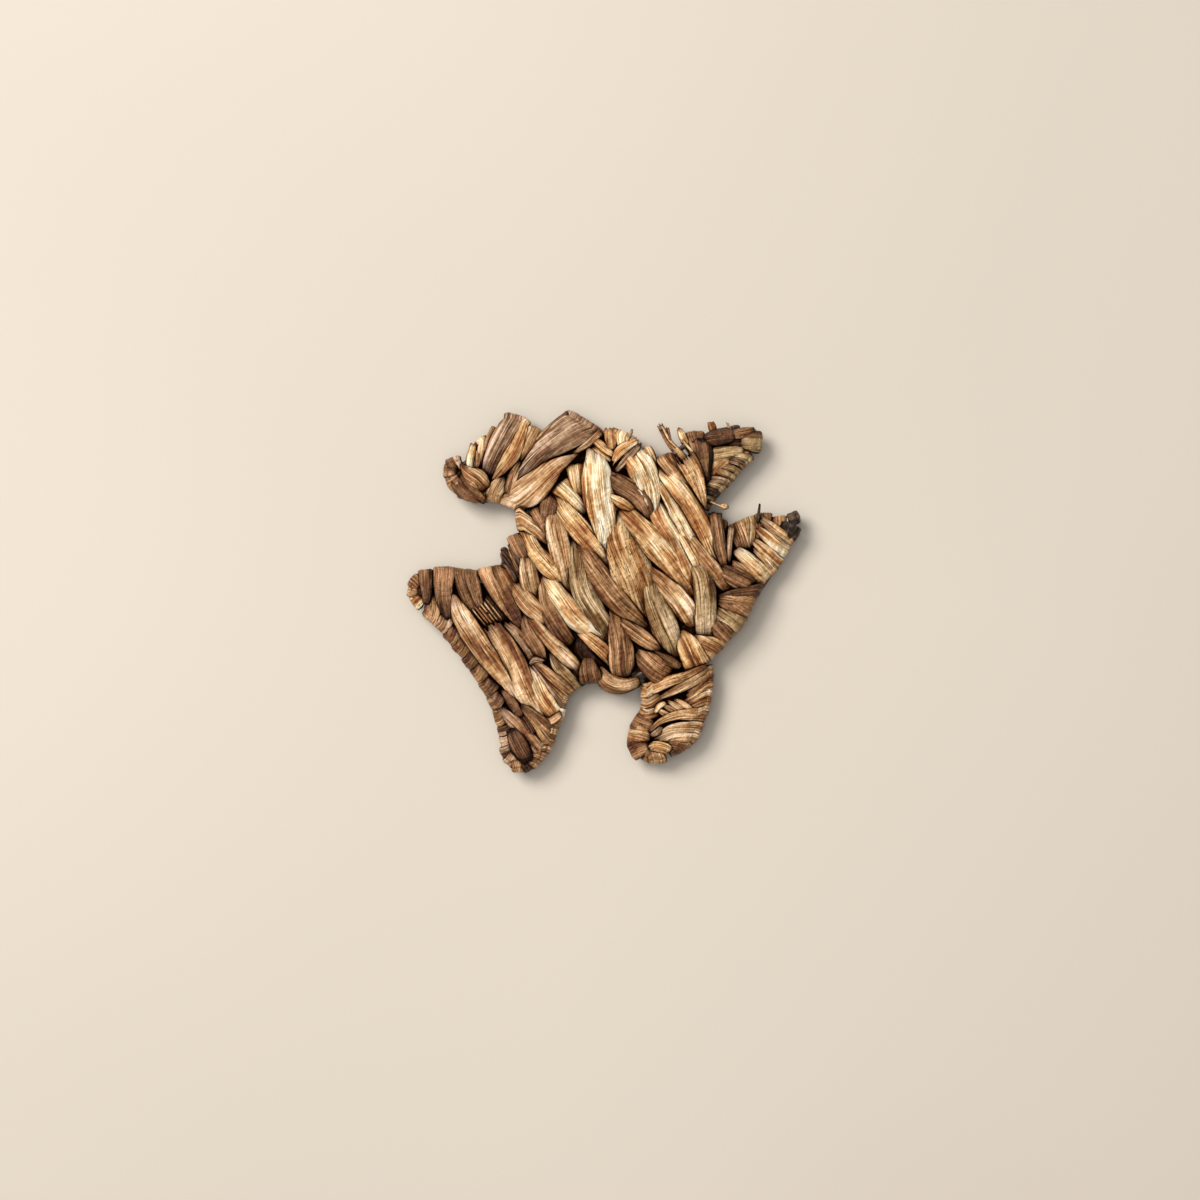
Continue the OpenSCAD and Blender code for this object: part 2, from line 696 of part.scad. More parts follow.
belly_fin_tip_band();
upper_jaw_lacing();
upper_jaw_dark_leaf();
upper_jaw_roll();
upper_jaw_frayed_leaf();
upper_jaw_tip_band();
lower_jaw_back_lacing();
lower_jaw_front_lacing();
lower_jaw_fan();
lower_jaw_tip_band();
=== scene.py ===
"""Flat woven fish of dried leaf strips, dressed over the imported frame."""
import logging
import math
from dataclasses import dataclass, field
from enum import Enum
from typing import ClassVar, Sequence

import bpy
import numpy as np
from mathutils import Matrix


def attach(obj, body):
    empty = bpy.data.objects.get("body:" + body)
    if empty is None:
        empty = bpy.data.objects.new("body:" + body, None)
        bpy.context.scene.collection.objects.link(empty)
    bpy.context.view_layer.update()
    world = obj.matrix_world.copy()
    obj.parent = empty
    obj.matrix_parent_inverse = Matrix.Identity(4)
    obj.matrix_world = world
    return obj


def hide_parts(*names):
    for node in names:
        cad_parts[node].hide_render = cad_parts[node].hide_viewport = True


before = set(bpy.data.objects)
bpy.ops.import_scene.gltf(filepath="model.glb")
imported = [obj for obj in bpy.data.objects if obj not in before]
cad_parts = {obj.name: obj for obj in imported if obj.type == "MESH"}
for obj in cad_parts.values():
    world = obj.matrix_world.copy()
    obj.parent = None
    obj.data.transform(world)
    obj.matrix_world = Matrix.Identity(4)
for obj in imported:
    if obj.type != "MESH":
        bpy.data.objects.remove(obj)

LOG = logging.getLogger("woven_fish")
MM = 0.001
CENTRE_X = 2.22   # middle of the fish's box in its own drawing, mm
CENTRE_Y = 1.34
MID_Z = 6.36      # height of the wire's plane over the floor, mm
TINY = 1e-9       # keeps a division off zero
SEED_STEP = 100   # between the seeds of two parts of the fish
SRGB_KNEE, SRGB_SLOPE, SRGB_SHIFT, SRGB_POWER = 0.04045, 12.92, 0.055, 2.4

Colour = tuple[float, float, float]
Point = tuple[float, float]
Station = tuple[float, float, float]
Range = tuple[float, float, float, float]
Socket = bpy.types.NodeSocket


def linear(red: float, green: float, blue: float) -> tuple[float, float, float, float]:
    """Turns a colour as seen into the shader's linear one.

    Args:
        red: Red from 0 to 255.
        green: Green from 0 to 255.
        blue: Blue from 0 to 255.

    Returns:
        The linear colour with full alpha.
    """
    parts = []
    for value in (red, green, blue):
        part = value / 255.0
        parts.append(part / SRGB_SLOPE if part <= SRGB_KNEE
                     else ((part + SRGB_SHIFT) / (1.0 + SRGB_SHIFT)) ** SRGB_POWER)
    return parts[0], parts[1], parts[2], 1.0


def run_lengths(points: np.ndarray) -> np.ndarray:
    """Gives the length along a path at each of its points."""
    gaps = np.linalg.norm(np.diff(points, axis=0), axis=1)
    return np.concatenate(([0.0], np.cumsum(gaps)))


def unit_rows(vectors: np.ndarray) -> np.ndarray:
    """Brings each row to the length 1."""
    return vectors / np.maximum(np.linalg.norm(vectors, axis=1, keepdims=True), TINY)


def mesh_piece(name: str, points: np.ndarray, faces: list[tuple[int, ...]],
               maps: dict[str, np.ndarray],
               materials: Sequence[bpy.types.Material]) -> bpy.types.Object:
    """Makes a mesh object in the part's frame.

    Args:
        name: Name of the piece.
        points: Its points in the fish's own drawing, in millimetres.
        faces: Points of each face.
        maps: Each map's place at every point, by name.
        materials: Its materials in order.

    Returns:
        The piece, in metres.
    """
    mesh = bpy.data.meshes.new(name)
    mesh.from_pydata(((points - (CENTRE_X, CENTRE_Y, -MID_Z)) * MM).tolist(), [], faces)
    corners = np.concatenate([np.array(face) for face in faces])
    for key, places in maps.items():
        mesh.uv_layers.new(name=key).data.foreach_set("uv", places[corners].ravel())
    for material in materials:
        mesh.materials.append(material)
    mesh.update()
    piece = bpy.data.objects.new(name, mesh)
    bpy.context.scene.collection.objects.link(piece)
    return piece


class Tone(Enum):
    """Shades of the dried leaf, and a painted shade for hollows and gaps."""

    IVORY = "ivory"
    CREAM = "cream"
    GOLD = "gold"
    TAN = "tan"
    ORANGE = "orange"
    PINK = "pink"
    OLIVE = "olive"
    GREY = "grey"
    BROWN = "brown"
    UMBER = "umber"
    RUST = "rust"
    DARK = "dark"
    SPECK = "speckled"
    # painted shade: dark leaf laid in hollows and gaps where only shade falls
    PAINTED_SHADE = "shade"


class Shader:
    """Short way to add and join the nodes of one material."""

    NOISE_ROUGHNESS = 0.55
    OPENNESS_SAMPLES = 6
    BUMP_STRENGTH = 0.9
    MIX_FACTOR, MIX_BASE, MIX_OVER, MIX_RESULT = 0, 6, 7, 2   # sockets of a colour mix

    def __init__(self, name: str) -> None:
        """Starts an empty material.

        Args:
            name: Name of the material.
        """
        self.material = bpy.data.materials.new(name)
        self.material.use_nodes = True
        self.tree = self.material.node_tree
        self.tree.nodes.clear()

    def node(self, kind: str) -> bpy.types.Node:
        """Adds a node of a kind."""
        return self.tree.nodes.new(kind)

    def join(self, start: Socket, end: Socket) -> None:
        """Joins an output to an input."""
        self.tree.links.new(start, end)

    def map(self, name: str) -> Socket:
        """Reads one of the strip's own maps.

        Args:
            name: Name of the map.

        Returns:
            The map's place at each point.
        """
        node = self.node("ShaderNodeUVMap")
        node.uv_map = name
        return node.outputs["UV"]

    def noise(self, vector: Socket, scale: Station, detail: float) -> Socket:
        """Adds stretched noise.

        Args:
            vector: Coordinate of the noise.
            scale: Cycles for each unit of it along each axis.
            detail: Levels of finer noise.

        Returns:
            The noise's value, about 0.5 on average.
        """
        stretch = self.node("ShaderNodeVectorMath")
        stretch.operation = "MULTIPLY"
        self.join(vector, stretch.inputs[0])
        stretch.inputs[1].default_value = scale
        node = self.node("ShaderNodeTexNoise")
        node.inputs["Scale"].default_value = 1.0
        node.inputs["Detail"].default_value = detail
        node.inputs["Roughness"].default_value = self.NOISE_ROUGHNESS
        self.join(stretch.outputs["Vector"], node.inputs["Vector"])
        return node.outputs["Fac"]

    def math(self, operation: str, first: Socket, second: Socket | float = 0.0) -> Socket:
        """Works out one value from two.

        Args:
            operation: Name of the sum.
            first: First value.
            second: Second value, a socket or a number.

        Returns:
            The result.
        """
        node = self.node("ShaderNodeMath")
        node.operation = operation
        self.join(first, node.inputs[0])
        if isinstance(second, Socket):
            self.join(second, node.inputs[1])
        else:
            node.inputs[1].default_value = second
        return node.outputs["Value"]

    def weighed(self, parts: Sequence[tuple[Socket, float]]) -> Socket:
        """Adds values up, each times its weight.

        Args:
            parts: Values and their weights.

        Returns:
            The sum.
        """
        first, *others = [self.math("MULTIPLY", value, weight) for value, weight in parts]
        for other in others:
            first = self.math("ADD", first, other)
        return first

    def off_middle(self, value: Socket) -> Socket:
        """Tells how far a value lies from 0.5."""
        return self.math("ABSOLUTE", self.math("SUBTRACT", value, 0.5))

    def span(self, value: Socket, limits: Range) -> Socket:
        """Maps one range of values to another and keeps inside it.

        Args:
            value: Value to map.
            limits: Start and end of its range, and the results there.

        Returns:
            The mapped value.
        """
        node = self.node("ShaderNodeMapRange")
        self.join(value, node.inputs["Value"])
        for key, number in zip(("From Min", "From Max", "To Min", "To Max"), limits):
            node.inputs[key].default_value = number
        return node.outputs["Result"]

    def openness(self, reach: float) -> Socket:
        """Tells how open a place is: 1 on a free face, near 0 deep between strips.

        Args:
            reach: How far it looks, in metres.

        Returns:
            The openness.
        """
        node = self.node("ShaderNodeAmbientOcclusion")
        node.samples = self.OPENNESS_SAMPLES
        node.inputs["Distance"].default_value = reach
        return node.outputs["AO"]

    def ramp(self, value: Socket, places: Sequence[float], colours: Sequence[Colour]) -> Socket:
        """Colours a value.

        Args:
            value: Value to colour.
            places: Values that have a colour, from low to high.
            colours: Their colours as seen.

        Returns:
            The colour.
        """
        node = self.node("ShaderNodeValToRGB")
        elements = node.color_ramp.elements
        while len(elements) < len(places):
            elements.new(0.5)
        for element, place, colour in zip(elements, places, colours):
            element.position = place
            element.color = linear(*colour)
        self.join(value, node.inputs["Fac"])
        return node.outputs["Color"]

    def tint(self, factor: Socket, base: Socket, colour: Colour) -> Socket:
        """Mixes a colour into a base where a factor says so.

        Args:
            factor: Share of the colour.
            base: Colour underneath.
            colour: Colour as seen that goes over it.

        Returns:
            The mixed colour.
        """
        node = self.node("ShaderNodeMix")
        node.data_type = "RGBA"
        self.join(factor, node.inputs[self.MIX_FACTOR])
        self.join(base, node.inputs[self.MIX_BASE])
        node.inputs[self.MIX_OVER].default_value = linear(*colour)
        return node.outputs[self.MIX_RESULT]

    def finish(self, colour: Socket, rough: Socket, height: Socket, depth: float,
               gloss: float | Socket, metal: float = 0.0) -> bpy.types.Material:
        """Closes the material.

        Args:
            colour: Colour of the surface.
            rough: Its roughness.
            height: Height of its bumps, about 0 to 1.
            depth: Depth of the bumps in metres.
            gloss: Specular level, or the value that gives it.
            metal: 1 for bare metal.

        Returns:
            The finished material.
        """
        bump = self.node("ShaderNodeBump")
        bump.inputs["Strength"].default_value = self.BUMP_STRENGTH
        bump.inputs["Distance"].default_value = depth
        self.join(height, bump.inputs["Height"])
        skin = self.node("ShaderNodeBsdfPrincipled")
        if isinstance(gloss, float):
            skin.inputs["Specular IOR Level"].default_value = gloss
        else:
            self.join(gloss, skin.inputs["Specular IOR Level"])
        skin.inputs["Metallic"].default_value = metal
        self.join(colour, skin.inputs["Base Color"])
        self.join(rough, skin.inputs["Roughness"])
        self.join(bump.outputs["Normal"], skin.inputs["Normal"])
        out = self.node("ShaderNodeOutputMaterial")
        self.join(skin.outputs["BSDF"], out.inputs["Surface"])
        return self.material


@dataclass(frozen=True)
class FibreNoise:
    """One noise of the leaf: cycles for each millimetre, and shares of shade and bumps."""

    along: float
    across: float
    shade: float
    bump: float = 0.0


@dataclass(frozen=True)
class LeafFinish:
    """Dried leaf of one shade: fibre streaks, dark lines and spots; painted shade at edges, ends,
    hollows and creases.
    """

    FIBRES: ClassVar[tuple[FibreNoise, ...]] = (
        FibreNoise(0.06, 2.7, 0.22, 0.5), FibreNoise(0.03, 1.35, 0.18, 0.5),
        FibreNoise(0.06, 0.26, 0.48), FibreNoise(0.6, 0.4, 0.12, 2.0))
    STOPS: ClassVar[Range] = (0.365, 0.45, 0.525, 0.595)   # from the dark colour to the pale
    DEEP: ClassVar[float] = 0.27                           # part of the dark colour in cracks and in the painted crease shade
    CRACK_SCALE: ClassVar[Station] = (0.02, 0.6, 0.0)
    CRACK_BREADTH: ClassVar[float] = 0.011
    HAIR_SCALE: ClassVar[Station] = (0.04, 1.7, 7.0)
    HAIR_BREADTH: ClassVar[float] = 0.022
    HAIR_SHARE: ClassVar[float] = 0.55                     # of the cracks' darkness
    PATCH_SCALE: ClassVar[Station] = (0.04, 0.22, 3.0)     # where the hair lines are strong
    PATCH: ClassVar[Range] = (0.44, 0.56, 0.15, 1.0)
    SPOT_SCALE: ClassVar[Station] = (1.1, 1.5, 0.0)
    SPOT: ClassVar[Point] = (0.57, 0.66)
    EDGE_SHADE: ClassVar[Range] = (0.43, 0.5, 0.0, 0.8)           # painted shade towards the long edges
    EDGE_SHADE_POWER: ClassVar[float] = 1.6
    END_SHADE: ClassVar[Range] = (0.3, 0.5, 0.0, 0.9)            # painted shade towards the two ends, where strips dip under others
    END_SHADE_POWER: ClassVar[float] = 1.8
    # painted shade in the hollows (wide reach) and creases (short reach) between strips
    HOLLOW_SHADE_REACH: ClassVar[float] = 8.0 * MM
    HOLLOW_SHADE: ClassVar[Range] = (0.35, 0.9, 0.85, 0.0)
    CREASE_SHADE_REACH: ClassVar[float] = 2.4 * MM
    CREASE_SHADE: ClassVar[Range] = (0.45, 0.92, 1.0, 0.0)
    SHINE: ClassVar[Point] = (0.55, 0.95)                  # openness at no gloss and at full
    ROUGH: ClassVar[Range] = (0.40, 0.58, 0.42, 0.26)
    BUMP_DEPTH: ClassVar[float] = 0.65 * MM

    tone: Tone
    pale: Colour
    light: Colour
    mid: Colour
    dark: Colour
    spots: float = 0.35
    lines: float = 0.9
    gloss: float = 0.36

    def material(self) -> bpy.types.Material:
        """Builds the leaf's material.

        Returns:
            The material, which reads the strip's fibre and span maps.
        """
        shader = Shader("leaf_" + self.tone.value)
        fibre = shader.map("fibre")
        noises = [(shader.noise(fibre, (part.along, part.across, 0.0), detail=3.0), part)
                  for part in self.FIBRES]
        value = shader.weighed([(noise, part.shade) for noise, part in noises])
        colour = shader.ramp(value, self.STOPS, (self.dark, self.mid, self.light, self.pale))
        deep = tuple(part * self.DEEP for part in self.dark)
        crack = self.crack(shader, fibre, self.CRACK_SCALE, self.CRACK_BREADTH, self.lines)
        hair = self.crack(shader, fibre, self.HAIR_SCALE, self.HAIR_BREADTH,
                          self.lines * self.HAIR_SHARE)
        patch = shader.span(shader.noise(fibre, self.PATCH_SCALE, detail=1.0), self.PATCH)
        hair = shader.math("MULTIPLY", hair, patch)
        spot = shader.span(shader.noise(fibre, self.SPOT_SCALE, detail=4.0),
                           (*self.SPOT, 0.0, self.spots))
        place = shader.node("ShaderNodeSeparateXYZ")
        shader.join(shader.map("span"), place.inputs["Vector"])
        # painted shade: darker towards the long edges of each strip
        rim = shader.span(shader.off_middle(place.outputs["X"]), self.EDGE_SHADE)
        rim = shader.math("POWER", rim, self.EDGE_SHADE_POWER)
        # painted shade: darker towards both ends, where a strip dips under its neighbours
        tip = shader.span(shader.off_middle(place.outputs["Y"]), self.END_SHADE)
        tip = shader.math("POWER", tip, self.END_SHADE_POWER)
        open_part = shader.openness(self.HOLLOW_SHADE_REACH)
        # painted shade: darker in the hollows and creases between strips, from how open each place
        # is
        hollow_shade = shader.span(open_part, self.HOLLOW_SHADE)
        crease_shade = shader.span(shader.openness(self.CREASE_SHADE_REACH), self.CREASE_SHADE)
        # cracks, hair lines and spots are the leaf's own marks; edge, end, hollow and crease tints
        # are painted shade
        for share, over in ((crack, deep), (hair, self.dark), (spot, self.dark), (rim, self.dark),
                            (tip, self.dark), (hollow_shade, self.dark), (crease_shade, deep)):
            colour = shader.tint(share, colour, over)
        height = shader.weighed([(noise, part.bump) for noise, part in noises if part.bump])
        for line in (crack, hair):
            height = shader.math("SUBTRACT", height, line)
        rough = shader.span(value, self.ROUGH)
        shine = shader.span(open_part, (*self.SHINE, 0.0, self.gloss))
        return shader.finish(colour, rough, height, self.BUMP_DEPTH, shine)

    def crack(self, shader: Shader, fibre: Socket, scale: Station, breadth: float,
              depth: float) -> Socket:
        """Draws dark lines along the fibres.

        Args:
            shader: Material that they belong to.
            fibre: Map along and across the strip.
            scale: Cycles for each millimetre along and across.
            breadth: How broad the lines are.
            depth: How dark they are at the middle.

        Returns:
            Share of the dark colour.
        """
        line = shader.off_middle(shader.noise(fibre, scale, detail=2.0))
        return shader.span(line, (0.0, breadth, depth, 0.0))


@dataclass(frozen=True)
class WireFinish:
    """Dark steel wire with rust in patches; its noises have cycles for each metre."""

    steel: Colour = (92, 84, 78)
    rust: Colour = (88, 52, 32)
    patches: float = 420.0
    grains: float = 2600.0
    stops: Point = (0.4, 0.56)
    rough: Range = (0.4, 0.6, 0.38, 0.78)
    depth: float = 0.08 * MM
    gloss: float = 0.5
    metal: float = 0.6

    def material(self) -> bpy.types.Material:
        """Builds the wire's material.

        Returns:
            The material.
        """
        shader = Shader("rusted_wire")
        place = shader.node("ShaderNodeTexCoord").outputs["Object"]
        patch = shader.noise(place, (self.patches,) * 3, detail=4.0)
        grain = shader.noise(place, (self.grains,) * 3, detail=3.0)
        colour = shader.ramp(patch, self.stops, (self.steel, self.rust))
        rough = shader.span(patch, self.rough)
        return shader.finish(colour, rough, grain, self.depth, self.gloss, self.metal)


@dataclass(frozen=True)
class FloorFinish:
    """Plain pale paper floor; its noises have cycles for each metre."""

    tone: Colour = (190, 183, 173)
    dim: float = 0.985
    clouds: float = 3.0
    grains: float = 900.0
    stops: Point = (0.4, 0.6)
    rough: Range = (0.3, 0.7, 0.85, 0.92)
    depth: float = 0.02 * MM
    gloss: float = 0.1

    def material(self) -> bpy.types.Material:
        """Builds the floor's material.

        Returns:
            The material.
        """
        shader = Shader("pale_floor")
        place = shader.node("ShaderNodeTexCoord").outputs["Object"]
        grain = shader.noise(place, (self.grains,) * 3, detail=2.0)
        cloud = shader.noise(place, (self.clouds,) * 3, detail=1.0)
        near = tuple(part * self.dim for part in self.tone)
        colour = shader.ramp(cloud, self.stops, (near, self.tone))
        rough = shader.span(cloud, self.rough)
        return shader.finish(colour, rough, grain, self.depth, self.gloss)


FINISHES: tuple[LeafFinish, ...] = (
    LeafFinish(Tone.IVORY, (255, 247, 239), (243, 229, 188), (200, 141, 78), (111, 44, 14),
               spots=0.15, lines=0.7),
    LeafFinish(Tone.CREAM, (255, 240, 223), (240, 215, 167), (182, 123, 65), (98, 36, 10),
               spots=0.2, lines=0.8),
    LeafFinish(Tone.GOLD, (255, 233, 198), (221, 181, 125), (158, 99, 46), (77, 27, 7), spots=0.3,
               lines=0.85),
    LeafFinish(Tone.TAN, (246, 212, 180), (198, 159, 111), (142, 88, 42), (68, 24, 7)),
    LeafFinish(Tone.ORANGE, (244, 203, 163), (196, 150, 95), (142, 83, 35), (68, 22, 6), spots=0.6,
               lines=0.85),
    LeafFinish(Tone.PINK, (240, 203, 176), (186, 146, 107), (131, 80, 41), (61, 22, 7)),
    LeafFinish(Tone.OLIVE, (226, 196, 161), (175, 146, 101), (117, 77, 35), (55, 21, 6)),
    LeafFinish(Tone.GREY, (225, 187, 164), (165, 134, 101), (111, 68, 38), (50, 19, 6)),
    LeafFinish(Tone.BROWN, (223, 175, 134), (160, 118, 75), (104, 58, 25), (43, 14, 4), gloss=0.32),
    LeafFinish(Tone.UMBER, (182, 133, 97), (128, 90, 54), (80, 43, 18), (34, 10, 3), lines=0.85,
               gloss=0.29),
    LeafFinish(Tone.RUST, (142, 98, 68), (95, 62, 39), (59, 30, 14), (22, 7, 2), spots=0.4,
               gloss=0.22),
    LeafFinish(Tone.DARK, (124, 96, 76), (76, 58, 44), (42, 27, 15), (16, 6, 2), gloss=0.32),
    LeafFinish(Tone.SPECK, (246, 210, 174), (204, 170, 119), (155, 99, 48), (68, 22, 6), spots=0.95,
               lines=0.7, gloss=0.29),
    # painted shade for hollows and gaps
    LeafFinish(Tone.PAINTED_SHADE, (66, 35, 17), (46, 23, 10), (27, 12, 5), (11, 5, 2), spots=0.3,
               lines=0.8, gloss=0.15),
)


class Palette:
    """Leaf materials, each made once."""

    def __init__(self, finishes: Sequence[LeafFinish]) -> None:
        """Builds all the leaf materials.

        Args:
            finishes: One finish for each shade.
        """
        self.materials = {finish.tone: finish.material() for finish in finishes}

    def of(self, tone: Tone) -> bpy.types.Material:
        """Gives the material of a shade."""
        return self.materials[tone]


@dataclass(frozen=True)
class Cells:
    """Cells of a strip's noise: length and breadth in millimetres, and where they start."""

    length: float
    breadth: float
    start: float = 0.0


class Grain:
    """Seeded smooth noise that shapes one strip's ridges, edges and creases."""

    SIZE = 61

    def __init__(self, seed: int) -> None:
        """Draws the noise's lattice.

        Args:
            seed: Number that makes the strip differ from the others.
        """
        self.draw = np.random.default_rng(seed)
        self.lattice = self.draw.uniform(-1.0, 1.0, (self.SIZE, self.SIZE))

    def field(self, along: np.ndarray, across: np.ndarray) -> np.ndarray:
        """Gives noise between -1 and 1.

        Args:
            along: Coordinate along the strip, in cells.
            across: Coordinate across the strip, in cells.

        Returns:
            The noise at each point.
        """
        along, across = np.broadcast_arrays(along, across)
        row, col = np.floor(along).astype(int), np.floor(across).astype(int)
        part_u, part_v = (part * part * (3.0 - 2.0 * part) for part in (along - row, across - col))
        row, col = row % self.SIZE, col % self.SIZE
        row_next, col_next = (row + 1) % self.SIZE, (col + 1) % self.SIZE
        low, high = (self.lattice[line, col] * (1 - part_v) + self.lattice[line, col_next] * part_v
                     for line in (row, row_next))
        return low * (1 - part_u) + high * part_u

    def relief(self, along: np.ndarray, across: np.ndarray, cells: Cells) -> np.ndarray:
        """Gives noise in cells of a size, for coordinates in millimetres."""
        return self.field(along / cells.length + cells.start, across / cells.breadth)


@dataclass(frozen=True)
class Outline:
    """Edge of the fish seen from the front, with the fish on its left, in millimetres."""

    corners: tuple[Point, ...]
    reach: float = 2.6
    step: float = 0.5
    ahead: int = 5

    def edge(self, place: np.ndarray) -> tuple[np.ndarray, np.ndarray] | None:
        """Finds the place on the edge that a strip folds over.

        Args:
            place: End of the strip.

        Returns:
            The nearest place and the way out of the fish there, or nothing if it is far.
        """
        ring = np.array(self.corners + self.corners[:1], float)
        length = run_lengths(ring)
        even = np.arange(0.0, length[-1], self.step)
        spots = np.stack([np.interp(even, length, ring[:, axis]) for axis in range(2)], axis=1)
        gaps = np.linalg.norm(spots - place, axis=1)
        best = int(gaps.argmin())
        if gaps[best] > self.reach:
            return None
        along = spots[(best + self.ahead) % len(spots)] - spots[best - self.ahead]
        return spots[best], np.array((along[1], -along[0])) / np.linalg.norm(along)


FISH_EDGE = Outline((
    (-59.4, 33.6), (-59.4, 26.5), (-57.3, 20), (-56.6, 5), (-56.6, -2.4), (-57.6, -11.8),
    (-59.1, -17.7), (-62, -24.5), (-64.4, -28.3), (-64.3, -33), (-62.3, -36.3), (-58.8, -37.7),
    (-55, -37.4), (-49.7, -35), (-45.2, -32.1), (-40.5, -28.6), (-37, -25.7), (-34, -24.2),
    (-29.9, -23.9), (-26.4, -25), (-23.4, -26.5), (-23.5, -29), (-22.5, -32), (-19, -34),
    (-15, -35.5), (-12, -35), (-15, -39.5), (-18, -43), (-21, -43.8), (-25, -46.5), (-27.5, -49.5),
    (-28.3, -52), (-27.5, -55), (-25, -58.5), (-21, -60.8), (-16, -61), (-9, -61), (-4, -58),
    (0, -55), (4.5, -51), (7, -48), (9.5, -44), (9, -43), (12, -41.5), (18, -40), (25, -38.5),
    (31, -35.5), (37.5, -32), (41, -30.5), (45, -30), (50, -28), (54, -25.6), (57, -25), (61, -22),
    (62, -20), (62.2, -17.2), (57, -17), (54, -14), (52, -11.4), (49, -11.2), (46, -9.5),
    (42, -9.5), (40.5, -6), (36, -4), (36, -3), (40, 0.3), (44.7, 1.8), (50, 2.6), (55.3, 4.2),
    (60, 4.7), (63.5, 4.6), (67.8, 11), (65, 13.5), (60, 18), (53, 20.4), (51, 21.6), (49.5, 23),
    (45.5, 24), (37.5, 22), (33, 24), (32, 29), (33, 31), (29, 38), (27, 40), (25, 40.7), (23, 44),
    (20, 50.5), (18, 52.5), (12, 52), (9, 53), (6.5, 55), (6.3, 59.5), (2.5, 63), (-1, 63),
    (-5, 62), (-12, 61.5), (-18, 55.5), (-19.5, 61), (-21.5, 62.5), (-25, 61.5), (-26.5, 58),
    (-27.2, 54), (-26.5, 50.5), (-24, 47), (-19, 44), (-15, 40), (-13, 36), (-14, 35), (-15, 32),
    (-16, 28), (-19.9, 29.5), (-25, 28.3), (-27.2, 22.7), (-31.7, 24.8), (-35.8, 26.2), (-41.4, 31),
    (-44.6, 33.9), (-48.2, 35.1), (-50.8, 37.4), (-55.8, 36.9)))


@dataclass(frozen=True)
class Strip:
    """One leaf strip, drawn in millimetres from its free end to the edge that it folds over."""

    tone: Tone
    line: tuple[Station, ...]
    height: float
    fold: bool
    tuck: Point
    camber: float
    ridge: float
    crumple: float = 0.2
    fray: float = 0.5
    front_only: bool = False
    edge: float = 1.9
    bank: float = 0.1


@dataclass
class Course:
    """Rows of a strip's path, the ways across and widths there, and the way out at its end."""

    place: np.ndarray
    across: np.ndarray
    width: np.ndarray
    out: np.ndarray

    def normals(self) -> np.ndarray:
        """Gives the outward direction at each row."""
        return unit_rows(np.cross(np.gradient(self.place, axis=0), self.across))


